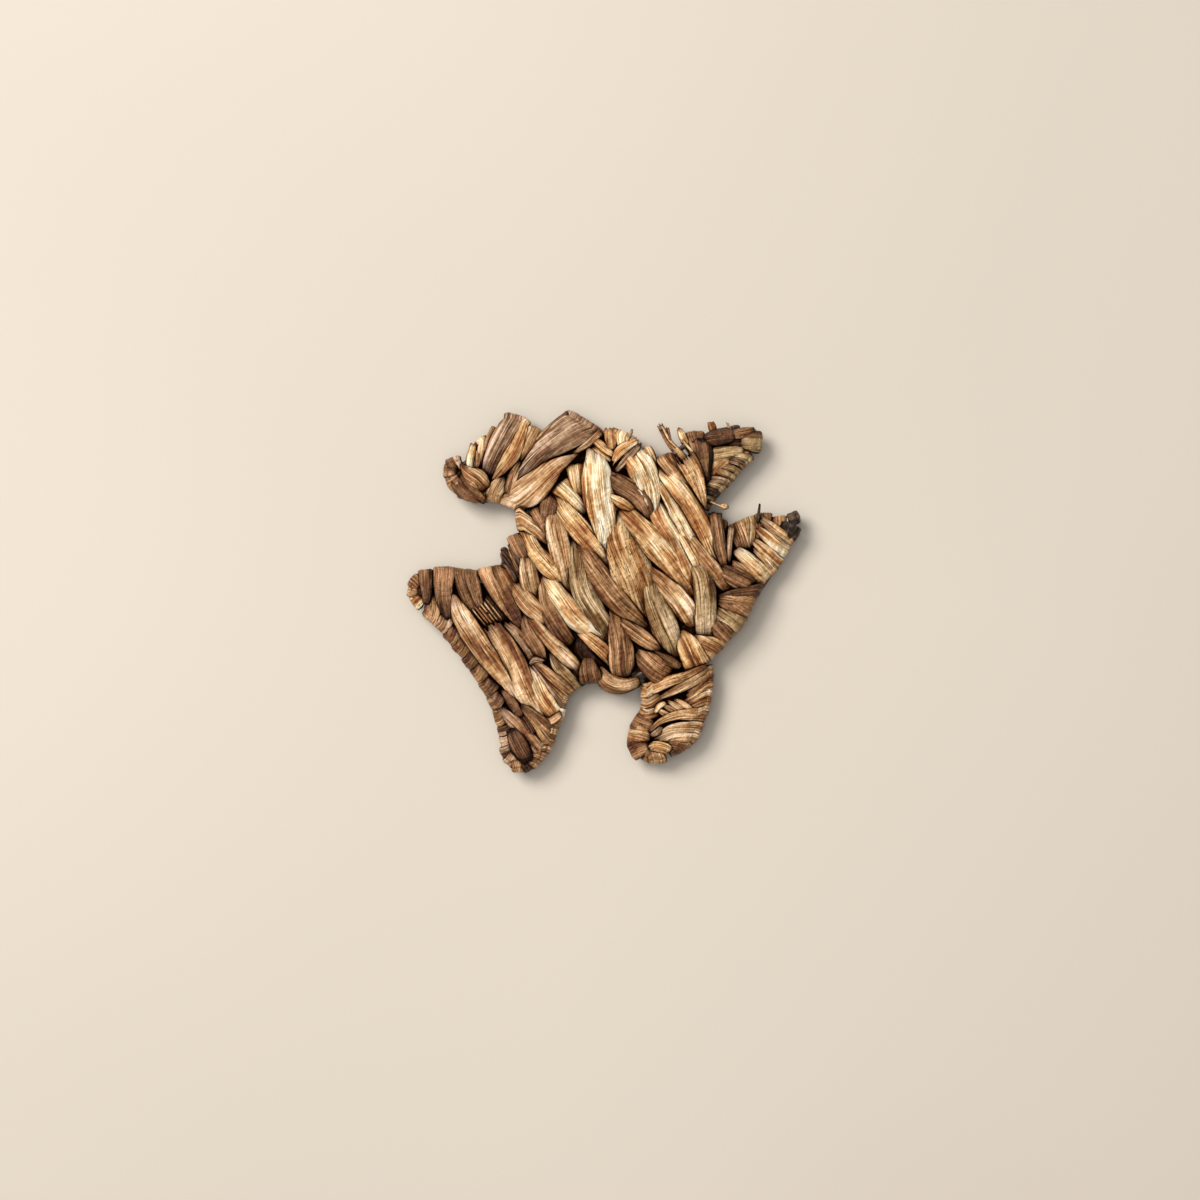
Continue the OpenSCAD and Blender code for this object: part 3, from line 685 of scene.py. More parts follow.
@dataclass
class LeafPiece:
    """Gathers leaf strips into one mesh object in the part's frame."""

    KNOT_ROWS: ClassVar[int] = 24              # rows between two stations before even spacing
    LEAST_ROWS: ClassVar[int] = 9
    LEAST_WIDTH: ClassVar[float] = 0.5
    FULL_OVERLAP: ClassVar[float] = 3.0        # width from which a strip overlaps in full
    DIP_SHARE: ClassVar[float] = 0.32          # part of the length in which an end dips
    LEAST_FACING: ClassVar[float] = 0.3        # below it a fold stays square to its strip
    MOST_SKEW: ClassVar[float] = 1.5
    SKEW_SHARE: ClassVar[Point] = (0.6, 0.67)
    FOLD_HEIGHT: ClassVar[float] = 0.6
    FOLD_REACH: ClassVar[float] = 1.5
    BACK_DRIFT: ClassVar[float] = 1.2          # how far a folded strip strays on the back
    BACK_SHIFT: ClassVar[float] = 0.5          # how far a loose strip's like lies off it
    COLUMNS: ClassVar[tuple[int, int]] = (6, 26)
    WOBBLE: ClassVar[float] = 0.055            # of the long edges, as a part of the width
    WOBBLE_CELL: ClassVar[float] = 3.5
    WOBBLE_ROWS: ClassVar[Point] = (3.0, 20.0)
    LENS_POWER: ClassVar[int] = 10
    CROWN_POWER: ClassVar[float] = 3.0
    MOST_CROWN: ClassVar[float] = 1.8
    FADE_POWER: ClassVar[int] = 6              # of the ridges, towards the long edges
    RIDGES: ClassVar[Cells] = Cells(16.0, 1.1)
    FINE_RIDGES: ClassVar[Cells] = Cells(9.0, 0.62, 30.0)
    FINE_SHARE: ClassVar[float] = 0.6
    CRUMPLES: ClassVar[Cells] = Cells(4.2, 3.4, 11.0)
    UNDER_CROWN: ClassVar[float] = 0.85        # the under side follows the upper in part
    UNDER_RIDGE: ClassVar[float] = 0.5
    TEAR_CELL: ClassVar[float] = 0.8
    TEAR_PLACE: ClassVar[Point] = (40.0, 7.0)
    MAP_SHIFT: ClassVar[float] = 400.0
    GRAIN_SEEDS: ClassVar[tuple[int, int, int]] = (977, 13, 5)
    MAP_SEED: ClassVar[int] = 131

    name: str
    palette: Palette
    seed: int
    grow: float
    overlap: float
    thickness: float = 0.6
    inset: float = 1.4
    step: float = 0.85
    cell: float = 0.42
    fold_rows: int = 7
    points: list[np.ndarray] = field(default_factory=list)
    faces: list[tuple[int, ...]] = field(default_factory=list)
    fibre: list[np.ndarray] = field(default_factory=list)
    span: list[np.ndarray] = field(default_factory=list)
    shades: list[int] = field(default_factory=list)
    tones: list[Tone] = field(default_factory=list)
    count: int = 0

    def spline(self, line: Sequence[Station], inset: float) -> np.ndarray:
        """Draws a smooth line through stations and spaces its rows evenly.

        Args:
            line: Stations of x, y and width.
            inset: Length left off at the last station.

        Returns:
            Rows of x, y and width.
        """
        knots = np.array(line, float)
        padded = np.vstack((2 * knots[0] - knots[1], knots, 2 * knots[-1] - knots[-2]))
        part = np.linspace(0.0, 1.0, self.KNOT_ROWS, endpoint=False)[:, None]
        rows = []
        for first, second, third, fourth in zip(padded, padded[1:], padded[2:], padded[3:]):
            rows.append(0.5 * (2 * second + (third - first) * part
                               + (2 * first - 5 * second + 4 * third - fourth) * part ** 2
                               + (3 * second - first - 3 * third + fourth) * part ** 3))
        dense = np.vstack(rows + [knots[-1:]])
        length = run_lengths(dense[:, :2])
        count = max(self.LEAST_ROWS, int(length[-1] / self.step))
        even = np.linspace(0.0, length[-1] - inset, count)
        return np.stack([np.interp(even, length, dense[:, col]) for col in range(3)], axis=1)

    def front(self, strip: Strip) -> Course:
        """Lays out a strip's path on the front.

        Args:
            strip: Strip to lay out.

        Returns:
            Its rows, with the ends dipped as the strip says.
        """
        line = [np.array(station, float) for station in strip.line]
        edge = FISH_EDGE.edge(line[-1][:2]) if strip.fold else None
        if edge is not None:
            line[-1] = np.append(edge[0], line[-1][2])
        rows = self.spline(line, self.inset if strip.fold else 0.0)
        share = np.linspace(0.0, 1.0, len(rows))
        lap = self.overlap * np.minimum(rows[:, 2] / self.FULL_OVERLAP, 1.0)
        width = np.maximum(rows[:, 2] * self.grow + lap, self.LEAST_WIDTH)
        dip, rise = (np.clip(1.0 - part / self.DIP_SHARE, 0.0, 1.0) ** 2
                     for part in (share, 1.0 - share))
        level = strip.height - strip.tuck[0] * dip
        level = level - (strip.height - strip.edge if strip.fold else strip.tuck[1]) * rise
        way = unit_rows(np.gradient(rows[:, :2], axis=0))
        across = np.stack((-way[:, 1], way[:, 0]), axis=1)
        out = way[-1]
        if edge is not None and edge[1] @ out > self.LEAST_FACING:
            skew = np.clip((edge[1] @ across[-1]) / (edge[1] @ out),
                           -self.MOST_SKEW, self.MOST_SKEW)
            ease = np.clip(share / self.SKEW_SHARE[0] - self.SKEW_SHARE[1], 0.0, 1.0) ** 2
            across = across - out * (skew * ease)[:, None]
            out = edge[1]
        flat = np.zeros((len(rows), 1))
        return Course(np.column_stack((rows[:, :2], level)), np.hstack((across, flat)), width,
                      np.append(out, 0.0))

    def folded(self, course: Course, grain: Grain) -> Course:
        """Carries a front path round the edge and along the back.

        Args:
            course: The front path.
            grain: Noise that moves the back a little.

        Returns:
            The whole path.
        """
        end, side = course.place[-1], course.across[-1]
        turn = np.linspace(0.0, math.pi, self.fold_rows + 2)[1:-1, None]
        height = max(end[2], self.FOLD_HEIGHT)
        bend = (end * (1, 1, 0) + course.out * np.sin(turn) * min(self.FOLD_REACH, height)
                + np.array((0, 0, height)) * np.cos(turn))
        back = course.place[::-1] * (1, 1, -1)
        stray = np.append(grain.draw.uniform(-self.BACK_DRIFT, self.BACK_DRIFT, 2), 0.0)
        drift = np.linspace(0.0, 1.0, len(back))[:, None] * stray
        place = np.vstack((course.place, bend, back + drift))
        across = np.vstack((course.across, np.repeat(side[None], len(bend), 0),
                            course.across[::-1]))
        width = np.concatenate((course.width, np.repeat(course.width[-1], len(bend)),
                                course.width[::-1]))
        return Course(place, across, width, course.out)

    def skin(self, strip: Strip, course: Course, grain: Grain) -> None:
        """Covers a path with a closed crowned leaf and keeps its maps.

        Args:
            strip: Strip that the path belongs to.
            course: Path to cover.
            grain: Noise of its ridges and edges.
        """
        cols = int(np.clip(course.width.max() / self.cell, *self.COLUMNS))
        part = np.linspace(-1.0, 1.0, cols)[None, :]
        along = run_lengths(course.place)[:, None]
        width = course.width[:, None]
        sides = np.sign(part) * self.WOBBLE_ROWS[0] + self.WOBBLE_ROWS[1]
        half = width / 2.0 * (1.0 + self.WOBBLE * grain.field(along / self.WOBBLE_CELL, sides))
        lens = self.thickness / 2.0 * np.sqrt(np.maximum(1.0 - part ** self.LENS_POWER, 0.0))
        crown = np.minimum(strip.camber * width, self.MOST_CROWN)
        crown = crown * (1.0 - np.abs(part) ** self.CROWN_POWER) + strip.bank * part * half
        ridge = strip.ridge * grain.relief(along, part * width, self.RIDGES)
        ridge += strip.ridge * self.FINE_SHARE * grain.relief(along, part * width, self.FINE_RIDGES)
        ridge += strip.crumple * grain.relief(along, part * width, self.CRUMPLES)
        ridge *= 1.0 - part ** self.FADE_POWER
        flat = course.place[:, None, :] + course.across[:, None, :] * (part * half)[:, :, None]
        out = course.normals()[:, None, :]
        upper = flat + out * (crown + lens + ridge)[:, :, None]
        under = crown * self.UNDER_CROWN - lens + ridge * self.UNDER_RIDGE
        lower = flat + out * under[:, :, None]
        way = unit_rows(np.gradient(course.place, axis=0))
        for end, sign in ((0, -1.0), (-1, 1.0)):
            torn = strip.fray * grain.field(np.array([[self.TEAR_PLACE[0] + sign]]),
                                            part * width[end] / self.TEAR_CELL + self.TEAR_PLACE[1])
            for sheet in (upper, lower):
                sheet[end] += way[end] * sign * torn.T
        rings = np.concatenate((upper, lower[:, -2:0:-1]), axis=1)
        rings[:, :, 2] = np.maximum(rings[:, :, 2], -MID_Z)
        self.keep(strip.tone, rings, along, part * half, part)

    def keep(self, tone: Tone, rings: np.ndarray, along: np.ndarray, aside: np.ndarray,
             part: np.ndarray) -> None:
        """Adds a strip's rings as faces with its two maps.

        Args:
            tone: Shade of the strip.
            rings: Points of each ring, upper side first.
            along: Length along the strip at each ring.
            aside: Distance from the middle line at each upper point.
            part: Share of the width at each upper point, -1 to 1.
        """
        rows, size = rings.shape[:2]
        cols = part.shape[1]
        order = np.concatenate((np.arange(cols), np.arange(cols - 2, 0, -1)))
        draw = np.random.default_rng(self.seed * self.MAP_SEED + len(self.points))
        shift = draw.uniform(0.0, self.MAP_SHIFT, 2)
        fibre = np.stack((np.broadcast_to(along, (rows, size)) + shift[0],
                          aside[:, order] + shift[1]), axis=2)
        share = np.broadcast_to(along / max(float(along[-1, 0]), TINY), (rows, size))
        span = np.stack((np.broadcast_to(part[0, order] * 0.5 + 0.5, (rows, size)), share), axis=2)
        index = self.count + np.arange(rows * size).reshape(rows, size)
        near = np.roll(index, -1, axis=1)
        quads = np.stack((index[:-1], near[:-1], near[1:], index[1:]), axis=2).reshape(-1, 4)
        made = [tuple(quad) for quad in quads.tolist()]
        for ring, flip in ((index[0].tolist(), True), (index[-1].tolist(), False)):
            for col in range(cols - 1):
                face = (ring[col], ring[col + 1], ring[-(col + 1) % size], ring[-col % size])
                face = tuple(dict.fromkeys(face))   # the two end faces have three corners
                made.append(face[::-1] if flip else face)
        if tone not in self.tones:
            self.tones.append(tone)
        self.shades.extend([self.tones.index(tone)] * len(made))
        self.faces.extend(made)
        self.points.append(rings.reshape(-1, 3))
        self.fibre.append(fibre.reshape(-1, 2))
        self.span.append(span.reshape(-1, 2))
        self.count += rows * size

    def add(self, strip: Strip) -> None:
        """Adds a strip on the front, and its fold and back or its like on the back.

        Args:
            strip: Strip to add.
        """
        by_piece, by_strip, start = self.GRAIN_SEEDS
        grain = Grain(self.seed * by_piece + len(self.points) * by_strip + start)
        course = self.front(strip)
        if strip.fold:
            self.skin(strip, self.folded(course, grain), grain)
            return
        self.skin(strip, course, grain)
        if not strip.front_only:
            move = np.append(grain.draw.uniform(-self.BACK_SHIFT, self.BACK_SHIFT, 2), 0.0)
            place = course.place * (1, 1, -1) + move
            back = Course(place, -course.across, course.width, course.out)
            self.skin(strip, back, grain)

    def build(self) -> bpy.types.Object:
        """Makes the mesh object from the strips added so far.

        Returns:
            The object, in metres in the part's frame.
        """
        maps = {"fibre": np.vstack(self.fibre), "span": np.vstack(self.span)}
        materials = [self.palette.of(tone) for tone in self.tones]
        piece = mesh_piece(self.name, np.vstack(self.points), self.faces, maps, materials)
        piece.data.polygons.foreach_set("material_index", self.shades)
        piece.data.polygons.foreach_set("use_smooth", [True] * len(self.faces))
        piece.data.update()
        return piece


@dataclass
class LeafAssembly:
    """Part of the fish that is made of leaf strips."""

    HAIR_TUCK: ClassVar[Point] = (0.4, 0.2)
    WRAP_TUCK: ClassVar[Point] = (0.5, 0.5)
    WRAP_SIDES: ClassVar[Station] = (0.1, 0.5, 0.9)          # near side, middle and far side
    WRAP_SHARES: ClassVar[Range] = (1.0, 0.6, 0.25, 0.0)     # stations from free end to edge
    WRAP_SWAY: ClassVar[float] = 0.5
    WRAP_BREADTH: ClassVar[Point] = (0.98, 1.16)
    WRAP_CURVE: ClassVar[float] = 1.4
    WRAP_TAPER: ClassVar[float] = 0.25

    palette: Palette
    seed: int
    low: float = 2.4
    step: float = 0.55
    grow: float = 1.05
    overlap: float = 0.45

    def leaf(self, tone: Tone, layer: float, *line: Station, fold: bool = True,
             tuck: Point = (0.7, 0.7), **shape: float) -> Strip:
        """Draws a strip in one of this part's layers.

        Args:
            tone: Shade of the leaf.
            layer: Layer that it lies in, 0 nearest the wire.
            line: Stations from its free end to the edge.
            fold: Whether it folds over the edge at its last station.
            tuck: How far its two ends dip.
            shape: Other values of the strip.

        Returns:
            The strip.
        """
        values = {"camber": 0.05, "ridge": 0.1, "bank": 0.08} | shape
        return Strip(tone, line, self.low + self.step * layer, fold, tuck, **values)

    def loose(self, tone: Tone, layer: float, *line: Station, **shape: float | Point) -> Strip:
        """Draws a strip that ends on its own face instead of folding over the edge."""
        return self.leaf(tone, layer, *line, fold=False, **shape)

    def hair(self, tone: Tone, layer: float, *line: Station) -> Strip:
        """Draws a loose fibre on the front.

        Args:
            tone: Shade of the fibre.
            layer: Layer that it leaves from.
            line: Stations from its root to its free end.

        Returns:
            The strip.
        """
        return Strip(tone, line, self.low + self.step * layer, fold=False, tuck=self.HAIR_TUCK,
                     camber=0.1, ridge=0.05, crumple=0.35, front_only=True)

    def wraps(self, layer: float, reach: float, slant: float, edge: Sequence[Point],
              tones: Sequence[Tone]) -> tuple[Strip, ...]:
        """Lays bands side by side over an edge, each over the one before.

        Args:
            layer: Layer of the bands.
            reach: How far they reach in from the edge.
            slant: How far their free ends lie on along the edge.
            edge: Edge with the leaf on its left.
            tones: One shade for each band.

        Returns:
            The bands.
        """
        corner = np.array(edge, float)
        length = run_lengths(corner)
        pitch = length[-1] / len(tones)
        draw = np.random.default_rng(self.seed + int(abs(corner).sum() * 10))
        bands = []
        for step, tone in enumerate(tones):
            near, place, far = (
                np.array([np.interp((step + part) * pitch, length, corner[:, axis])
                          for axis in range(2)]) for part in self.WRAP_SIDES)
            along = (far - near) / np.linalg.norm(far - near)
            inner = np.array((-along[1], along[0]))
            lean = slant + draw.uniform(-self.WRAP_SWAY, self.WRAP_SWAY)
            breadth = pitch * draw.uniform(*self.WRAP_BREADTH)
            line = [(*(place + inner * reach * share + along * lean * share ** self.WRAP_CURVE),
                     breadth * (1.0 - self.WRAP_TAPER * share)) for share in self.WRAP_SHARES]
            bands.append(self.leaf(tone, layer, *line, tuck=self.WRAP_TUCK, camber=0.02,
                                   bank=-0.13))
        return tuple(bands)

    def strips(self) -> dict[str, tuple[Strip, ...]]:
        """Gives the strips of each CAD node of this part."""
        raise NotImplementedError

    def build(self) -> None:
        """Builds each node's strips as one piece that replaces it."""
        for step, (node, strips) in enumerate(self.strips().items()):
            leaf = LeafPiece(node + "_leaf", self.palette, self.seed + step, self.grow,
                             self.overlap)
            for strip in strips:
                leaf.add(strip)
            piece = leaf.build()
            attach(piece, "root")
            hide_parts(node)
            LOG.info("%s: %d strips, %d faces", piece.name, len(strips), len(leaf.faces))


@dataclass
class Body(LeafAssembly):
    """Five plaited rows, each lens-shaped arm of a strand a strip of its own."""

    ARM_BANK: ClassVar[float] = 0.2
    ARM_TUCK: ClassVar[Point] = (3.2, 2.6)
    ARM_ROOT: ClassVar[Point] = (0.5, 0.65)    # least width of root and neck, of the next station
    OVER_TUCK: ClassVar[Point] = (2.2, 0.0)

    grow: float = 1.06
    overlap: float = 0.6
    height: float = 4.9
    edge: float = 4.2
    lead: float = 3.0

    def arm(self, tone: Tone, *line: Station, lift: float = 0.0, ridge: float = 0.1) -> Strip:
        """Draws an arm that dips under its neighbours at both ends and tilts to one side.

        Args:
            tone: Shade of the leaf.
            line: Stations from top to bottom.
            lift: Height over the other arms.
            ridge: Height of its fibre ridges.

        Returns:
            The strip.
        """
        bank = self.ARM_BANK if line[0][0] < line[-1][0] else -self.ARM_BANK
        (x, y, width), (next_x, next_y, next_width) = line[:2]
        share = self.lead / math.hypot(x - next_x, y - next_y)
        least_root, least_neck = (part * next_width for part in self.ARM_ROOT)
        root = (x + (x - next_x) * share, y + (y - next_y) * share, max(width, least_root))
        neck = (x, y, max(width, least_neck))
        return Strip(tone, (root, neck) + line[1:], self.height + lift, fold=False,
                     tuck=self.ARM_TUCK, camber=0.11, ridge=ridge, crumple=0.42, bank=bank)

    def over(self, tone: Tone, *line: Station, lift: float = 0.0, ridge: float = 0.1) -> Strip:
        """Draws an arm that runs over the body's edge to the back.

        Args:
            tone: Shade of the leaf.
            line: Stations from the dipped end to the edge.
            lift: Height over the other arms.
            ridge: Height of its fibre ridges.

        Returns:
            The strip.
        """
        return Strip(tone, line, self.height + lift, fold=True, tuck=self.OVER_TUCK, camber=0.06,
                     ridge=ridge, edge=self.edge)

    def strips(self) -> dict[str, tuple[Strip, ...]]:
        """Gives the arms of each strand.

        Returns:
            Strips by CAD node.
        """
        arm, over, tone = self.arm, self.over, Tone
        return {
            "row1_strand1": (
                arm(tone.TAN, (-20.2, 20.8, 2.5), (-22, 17, 5.5), (-24, 12.5, 5.5),
                    (-25.2, 7.5, 1.5)),
                arm(tone.TAN, (-30.3, 4, 1.5), (-29.6, -5, 4), (-28.3, -13, 4.5),
                    (-27.2, -19.5, 3.5)),
                over(tone.UMBER, (-22, -17.5, 2), (-24.5, -21.5, 6), (-25.5, -24.5, 7)),
            ),
            "row1_strand2": (
                arm(tone.TAN, (-28.6, 14.5, 1.5), (-28.3, 8, 6), (-27, 2, 4.5), (-26.3, -4, 1.5)),
                arm(tone.BROWN, (-20.8, 10, 3), (-23.5, 4, 5), (-24.5, -4, 5.5), (-24.5, -11, 4)),
                over(tone.UMBER, (-20.5, 20, 2), (-20.3, 24, 4.5), (-20, 27.5, 3.8)),
            ),
            "row1_strand3": (
                over(tone.RUST, (-26, 16.5, 3), (-24.6, 21, 4.4), (-23.6, 25.4, 3.8), ridge=0.3),
                *(self.hair(shade, 5.0, (x, 16.5, 0.9), (x + 0.5, 21.5, 1), (x + lean, end, 0.5))
                  for shade, x, lean, end in (
                      (tone.RUST, -27.6, 0.2, 24), (tone.DARK, -26.8, 0.8, 26.2),
                      (tone.RUST, -25.8, 0.4, 28), (tone.BROWN, -24.8, 1.4, 26.6),
                      (tone.RUST, -24, 1.6, 28.2), (tone.DARK, -23.2, 1, 25.6))),
                # painted shade: dark arm in a hollow
                arm(tone.PAINTED_SHADE, (-20.5, -11.5, 3), (-22.5, -15, 5), (-21.5, -20, 3),
                    (-20, -25, 2.5), lift=-1.2, ridge=0.3),
            ),
            "row2_strand1": (
                arm(tone.GOLD, (-15.6, 27.3, 1.5), (-16.5, 22, 5), (-16, 15, 6), (-15, 9, 3.5),
                    (-14.3, 4.5, 1)),
                arm(tone.OLIVE, (-4.3, 14.5, 2), (-8, 8, 6), (-11, 1, 7), (-11.8, -7, 6.8),
                    (-12, -13, 5.5), (-13.2, -18, 2)),
                arm(tone.TAN, (-21.8, -23.8, 2), (-21.3, -28.5, 5), (-18, -32.3, 4.5),
                    (-13, -34.3, 2.5), lift=-1.2),
            ),
            "row2_strand2": (
                over(tone.UMBER, (-7.5, 26.5, 2.5), (-5, 30, 5), (-1.5, 33, 4)),
                arm(tone.ORANGE, (-19, -11, 1.8), (-17.6, -16, 4.5), (-16.6, -21, 4),
                    (-17, -25, 2)),
                arm(tone.BROWN, (-7.2, -12.5, 2.5), (-9.5, -17.5, 6), (-12.3, -23, 8),
                    (-15, -27.5, 7), (-16, -30.5, 3)),
            ),
            "row2_strand3": (
                over(tone.TAN, (-11, 20, 1), (-11.8, 26, 4), (-12.8, 33, 4.6)),
                over(tone.UMBER, (-9.8, 22, 1.5), (-8.8, 28, 4), (-8.3, 32.5, 4)),
                arm(tone.TAN, (-3.8, 28, 2), (-6.3, 23.5, 6.5), (-9.5, 16, 7), (-12.5, 9, 4.5),
                    (-14.2, 3.5, 1)),
                arm(tone.CREAM, (-18.8, 11, 1.5), (-18.6, 4, 6), (-18.4, -4, 6.5),
                    (-16.5, -11, 4.5), (-14.4, -17.5, 1)),
            ),
            "row3_strand1": (
                over(tone.GOLD, (4.7, 22, 2), (4, 28, 4), (3, 34.5, 7)),
                arm(tone.IVORY, (18, 35, 5), (15, 30, 9), (11, 23, 9.5), (7.5, 15.5, 7.5),
                    (4.3, 9, 3.5), (2.9, 6, 1), lift=0.8),
                arm(tone.BROWN, (-6.4, -15.5, 1), (-4.5, -21, 4.7), (-2.6, -26, 4), (-1, -30, 1.2)),
            ),
            "row3_strand2": (
                arm(tone.GOLD, (-0.6, 30.8, 1.5), (-0.8, 25, 6), (-0.3, 18, 6.5), (0.3, 11, 5),
                    (1, 5.5, 2), (1.2, 2.5, 0.8)),
                arm(tone.SPECK, (12.2, 14.5, 2.5), (8.8, 8, 8.5), (6.7, 0, 12.5), (5.5, -6, 11.5),
                    (3.7, -12, 6), (2.2, -18, 2)),
                over(tone.BROWN, (-7.8, -25.5, 1.5), (-7, -30.5, 6.5), (-5.5, -35.5, 7.5),
                     (-4, -38, 7)),
            ),
            "row3_strand3": (
                over(tone.GOLD, (7, 27.5, 3.5), (9.5, 33, 6), (11.3, 36.5, 6)),
                arm(tone.BROWN, (-4, 14.5, 1.5), (-4, 7, 6.5), (-3.9, -2, 8), (-3.2, -10, 6.5),
                    (-1.5, -17, 3.5), (-0.4, -21, 1)),
                arm(tone.OLIVE, (9.8, -8.3, 1.5), (7, -14, 6), (5.2, -21, 8.2), (3.8, -28, 7),
                    (2.4, -35, 1.5)),
                over(tone.GOLD, (7.9, -28.3, 1.5), (7.3, -33, 6.5), (6.4, -38, 8), (6, -41, 8.5)),
                arm(tone.UMBER, (-2.8, -30.5, 1.5), (-1, -34, 2.8), (1.3, -38.5, 2)),
            ),
            "row4_strand1": (
                arm(tone.IVORY, (28.8, 28.5, 6.6), (28.4, 23, 8.8), (26.6, 16.5, 7.2),
                    (23.8, 11, 4), (21.6, 6.5, 1), lift=0.6),
                over(tone.CREAM, (25.5, 25, 3), (28, 30, 6), (30.4, 35, 7), lift=-1.2),
                arm(tone.GOLD, (26.3, -1.5, 1), (26, -7, 3), (25.3, -12.5, 3), (24, -16, 1),
                    lift=0.4),
                arm(tone.TAN, (11, -6.3, 1), (12.3, -12, 4.5), (13.2, -20, 7), (13, -26, 6),
                    (12.7, -30, 2.5)),
            ),
            "row4_strand2": (
                arm(tone.GOLD, (15, 15.5, 2.5), (16.3, 8.5, 6.5), (17.3, 0, 8.2), (17.8, -8, 6.5),
                    (18, -15, 4), (18, -21, 1.2)),
                arm(tone.OLIVE, (25, -12, 3.5), (24.3, -17.5, 6), (21, -24, 7), (17, -30, 7),
                    (13.5, -35.5, 5)),
                over(tone.TAN, (10, -32.6, 2), (12.4, -37, 5.5), (14.6, -41, 8)),
            ),
            "row4_strand3": (
                arm(tone.UMBER, (18, 26.6, 2.6), (19.6, 22.5, 6), (21.6, 17.5, 6), (21.9, 12, 4.4),
                    (20.8, 7, 1), lift=0.9, ridge=0.3),
                arm(tone.CREAM, (14.8, 20.8, 1.5), (16.3, 17.5, 3.2), (18.4, 13, 1.5), lift=0.8),
                arm(tone.UMBER, (14, 19, 1.5), (13, 17.5, 2.8), (12, 16, 1.5)),
                arm(tone.CREAM, (25, 11.5, 3), (24, 5, 6.3), (23.7, -3, 5.5), (22, -11, 4.5),
                    (20, -19, 1.2)),
                over(tone.UMBER, (18.4, -31.6, 2), (19, -36, 5.5), (19.2, -39.6, 7)),
                over(tone.OLIVE, (21.3, -29.5, 2.5), (23, -34.5, 6), (24.4, -38.4, 8)),
            ),
            "row5_strand1": (
                arm(tone.CREAM, (31, 18, 2), (30.3, 11, 4), (29.3, 3, 4.5), (28.5, -5, 4),
                    (29, -12, 1)),
                arm(tone.TAN, (27.4, 0, 2), (28, -8, 3.5), (28.3, -16, 4.5), (28.6, -23, 4),
                    (28.5, -26, 2)),
            ),
            "row5_strand2": (
                arm(tone.GOLD, (33, 19.5, 3), (34.2, 12, 5.2), (34.5, 4, 5.6), (33.6, -5, 5.2),
                    (32, -13, 3.4), (30.8, -20, 1), lift=0.3),
                arm(tone.UMBER, (38.3, -5.5, 3.5), (36, -10, 4.5), (33.3, -16, 3), (31.3, -21, 1)),
            ),
            "row5_strand3": (
                over(tone.TAN, (37.4, 8, 2), (37, 15, 5), (36.4, 22, 5.4), lift=-0.5),
                over(tone.CREAM, (29.8, 19, 3), (31.4, 24, 5), (32.6, 28.4, 6), lift=-0.9),
                arm(tone.UMBER, (31.2, -20.6, 3), (33.4, -25, 6), (36, -29.8, 4), lift=0.4,
                    ridge=0.4),
                over(tone.RUST, (24.5, -26.5, 1.5), (29, -28.6, 3.4), (33.6, -31, 4.4),
                     (36.6, -32.2, 4.6)),
                over(tone.BROWN, (24.5, -27, 1.5), (28, -30.4, 4), (32, -34.6, 6)),
                over(tone.BROWN, (24.3, -27.5, 2), (26.4, -32, 4.6), (28.4, -36.8, 7)),
            ),
        }


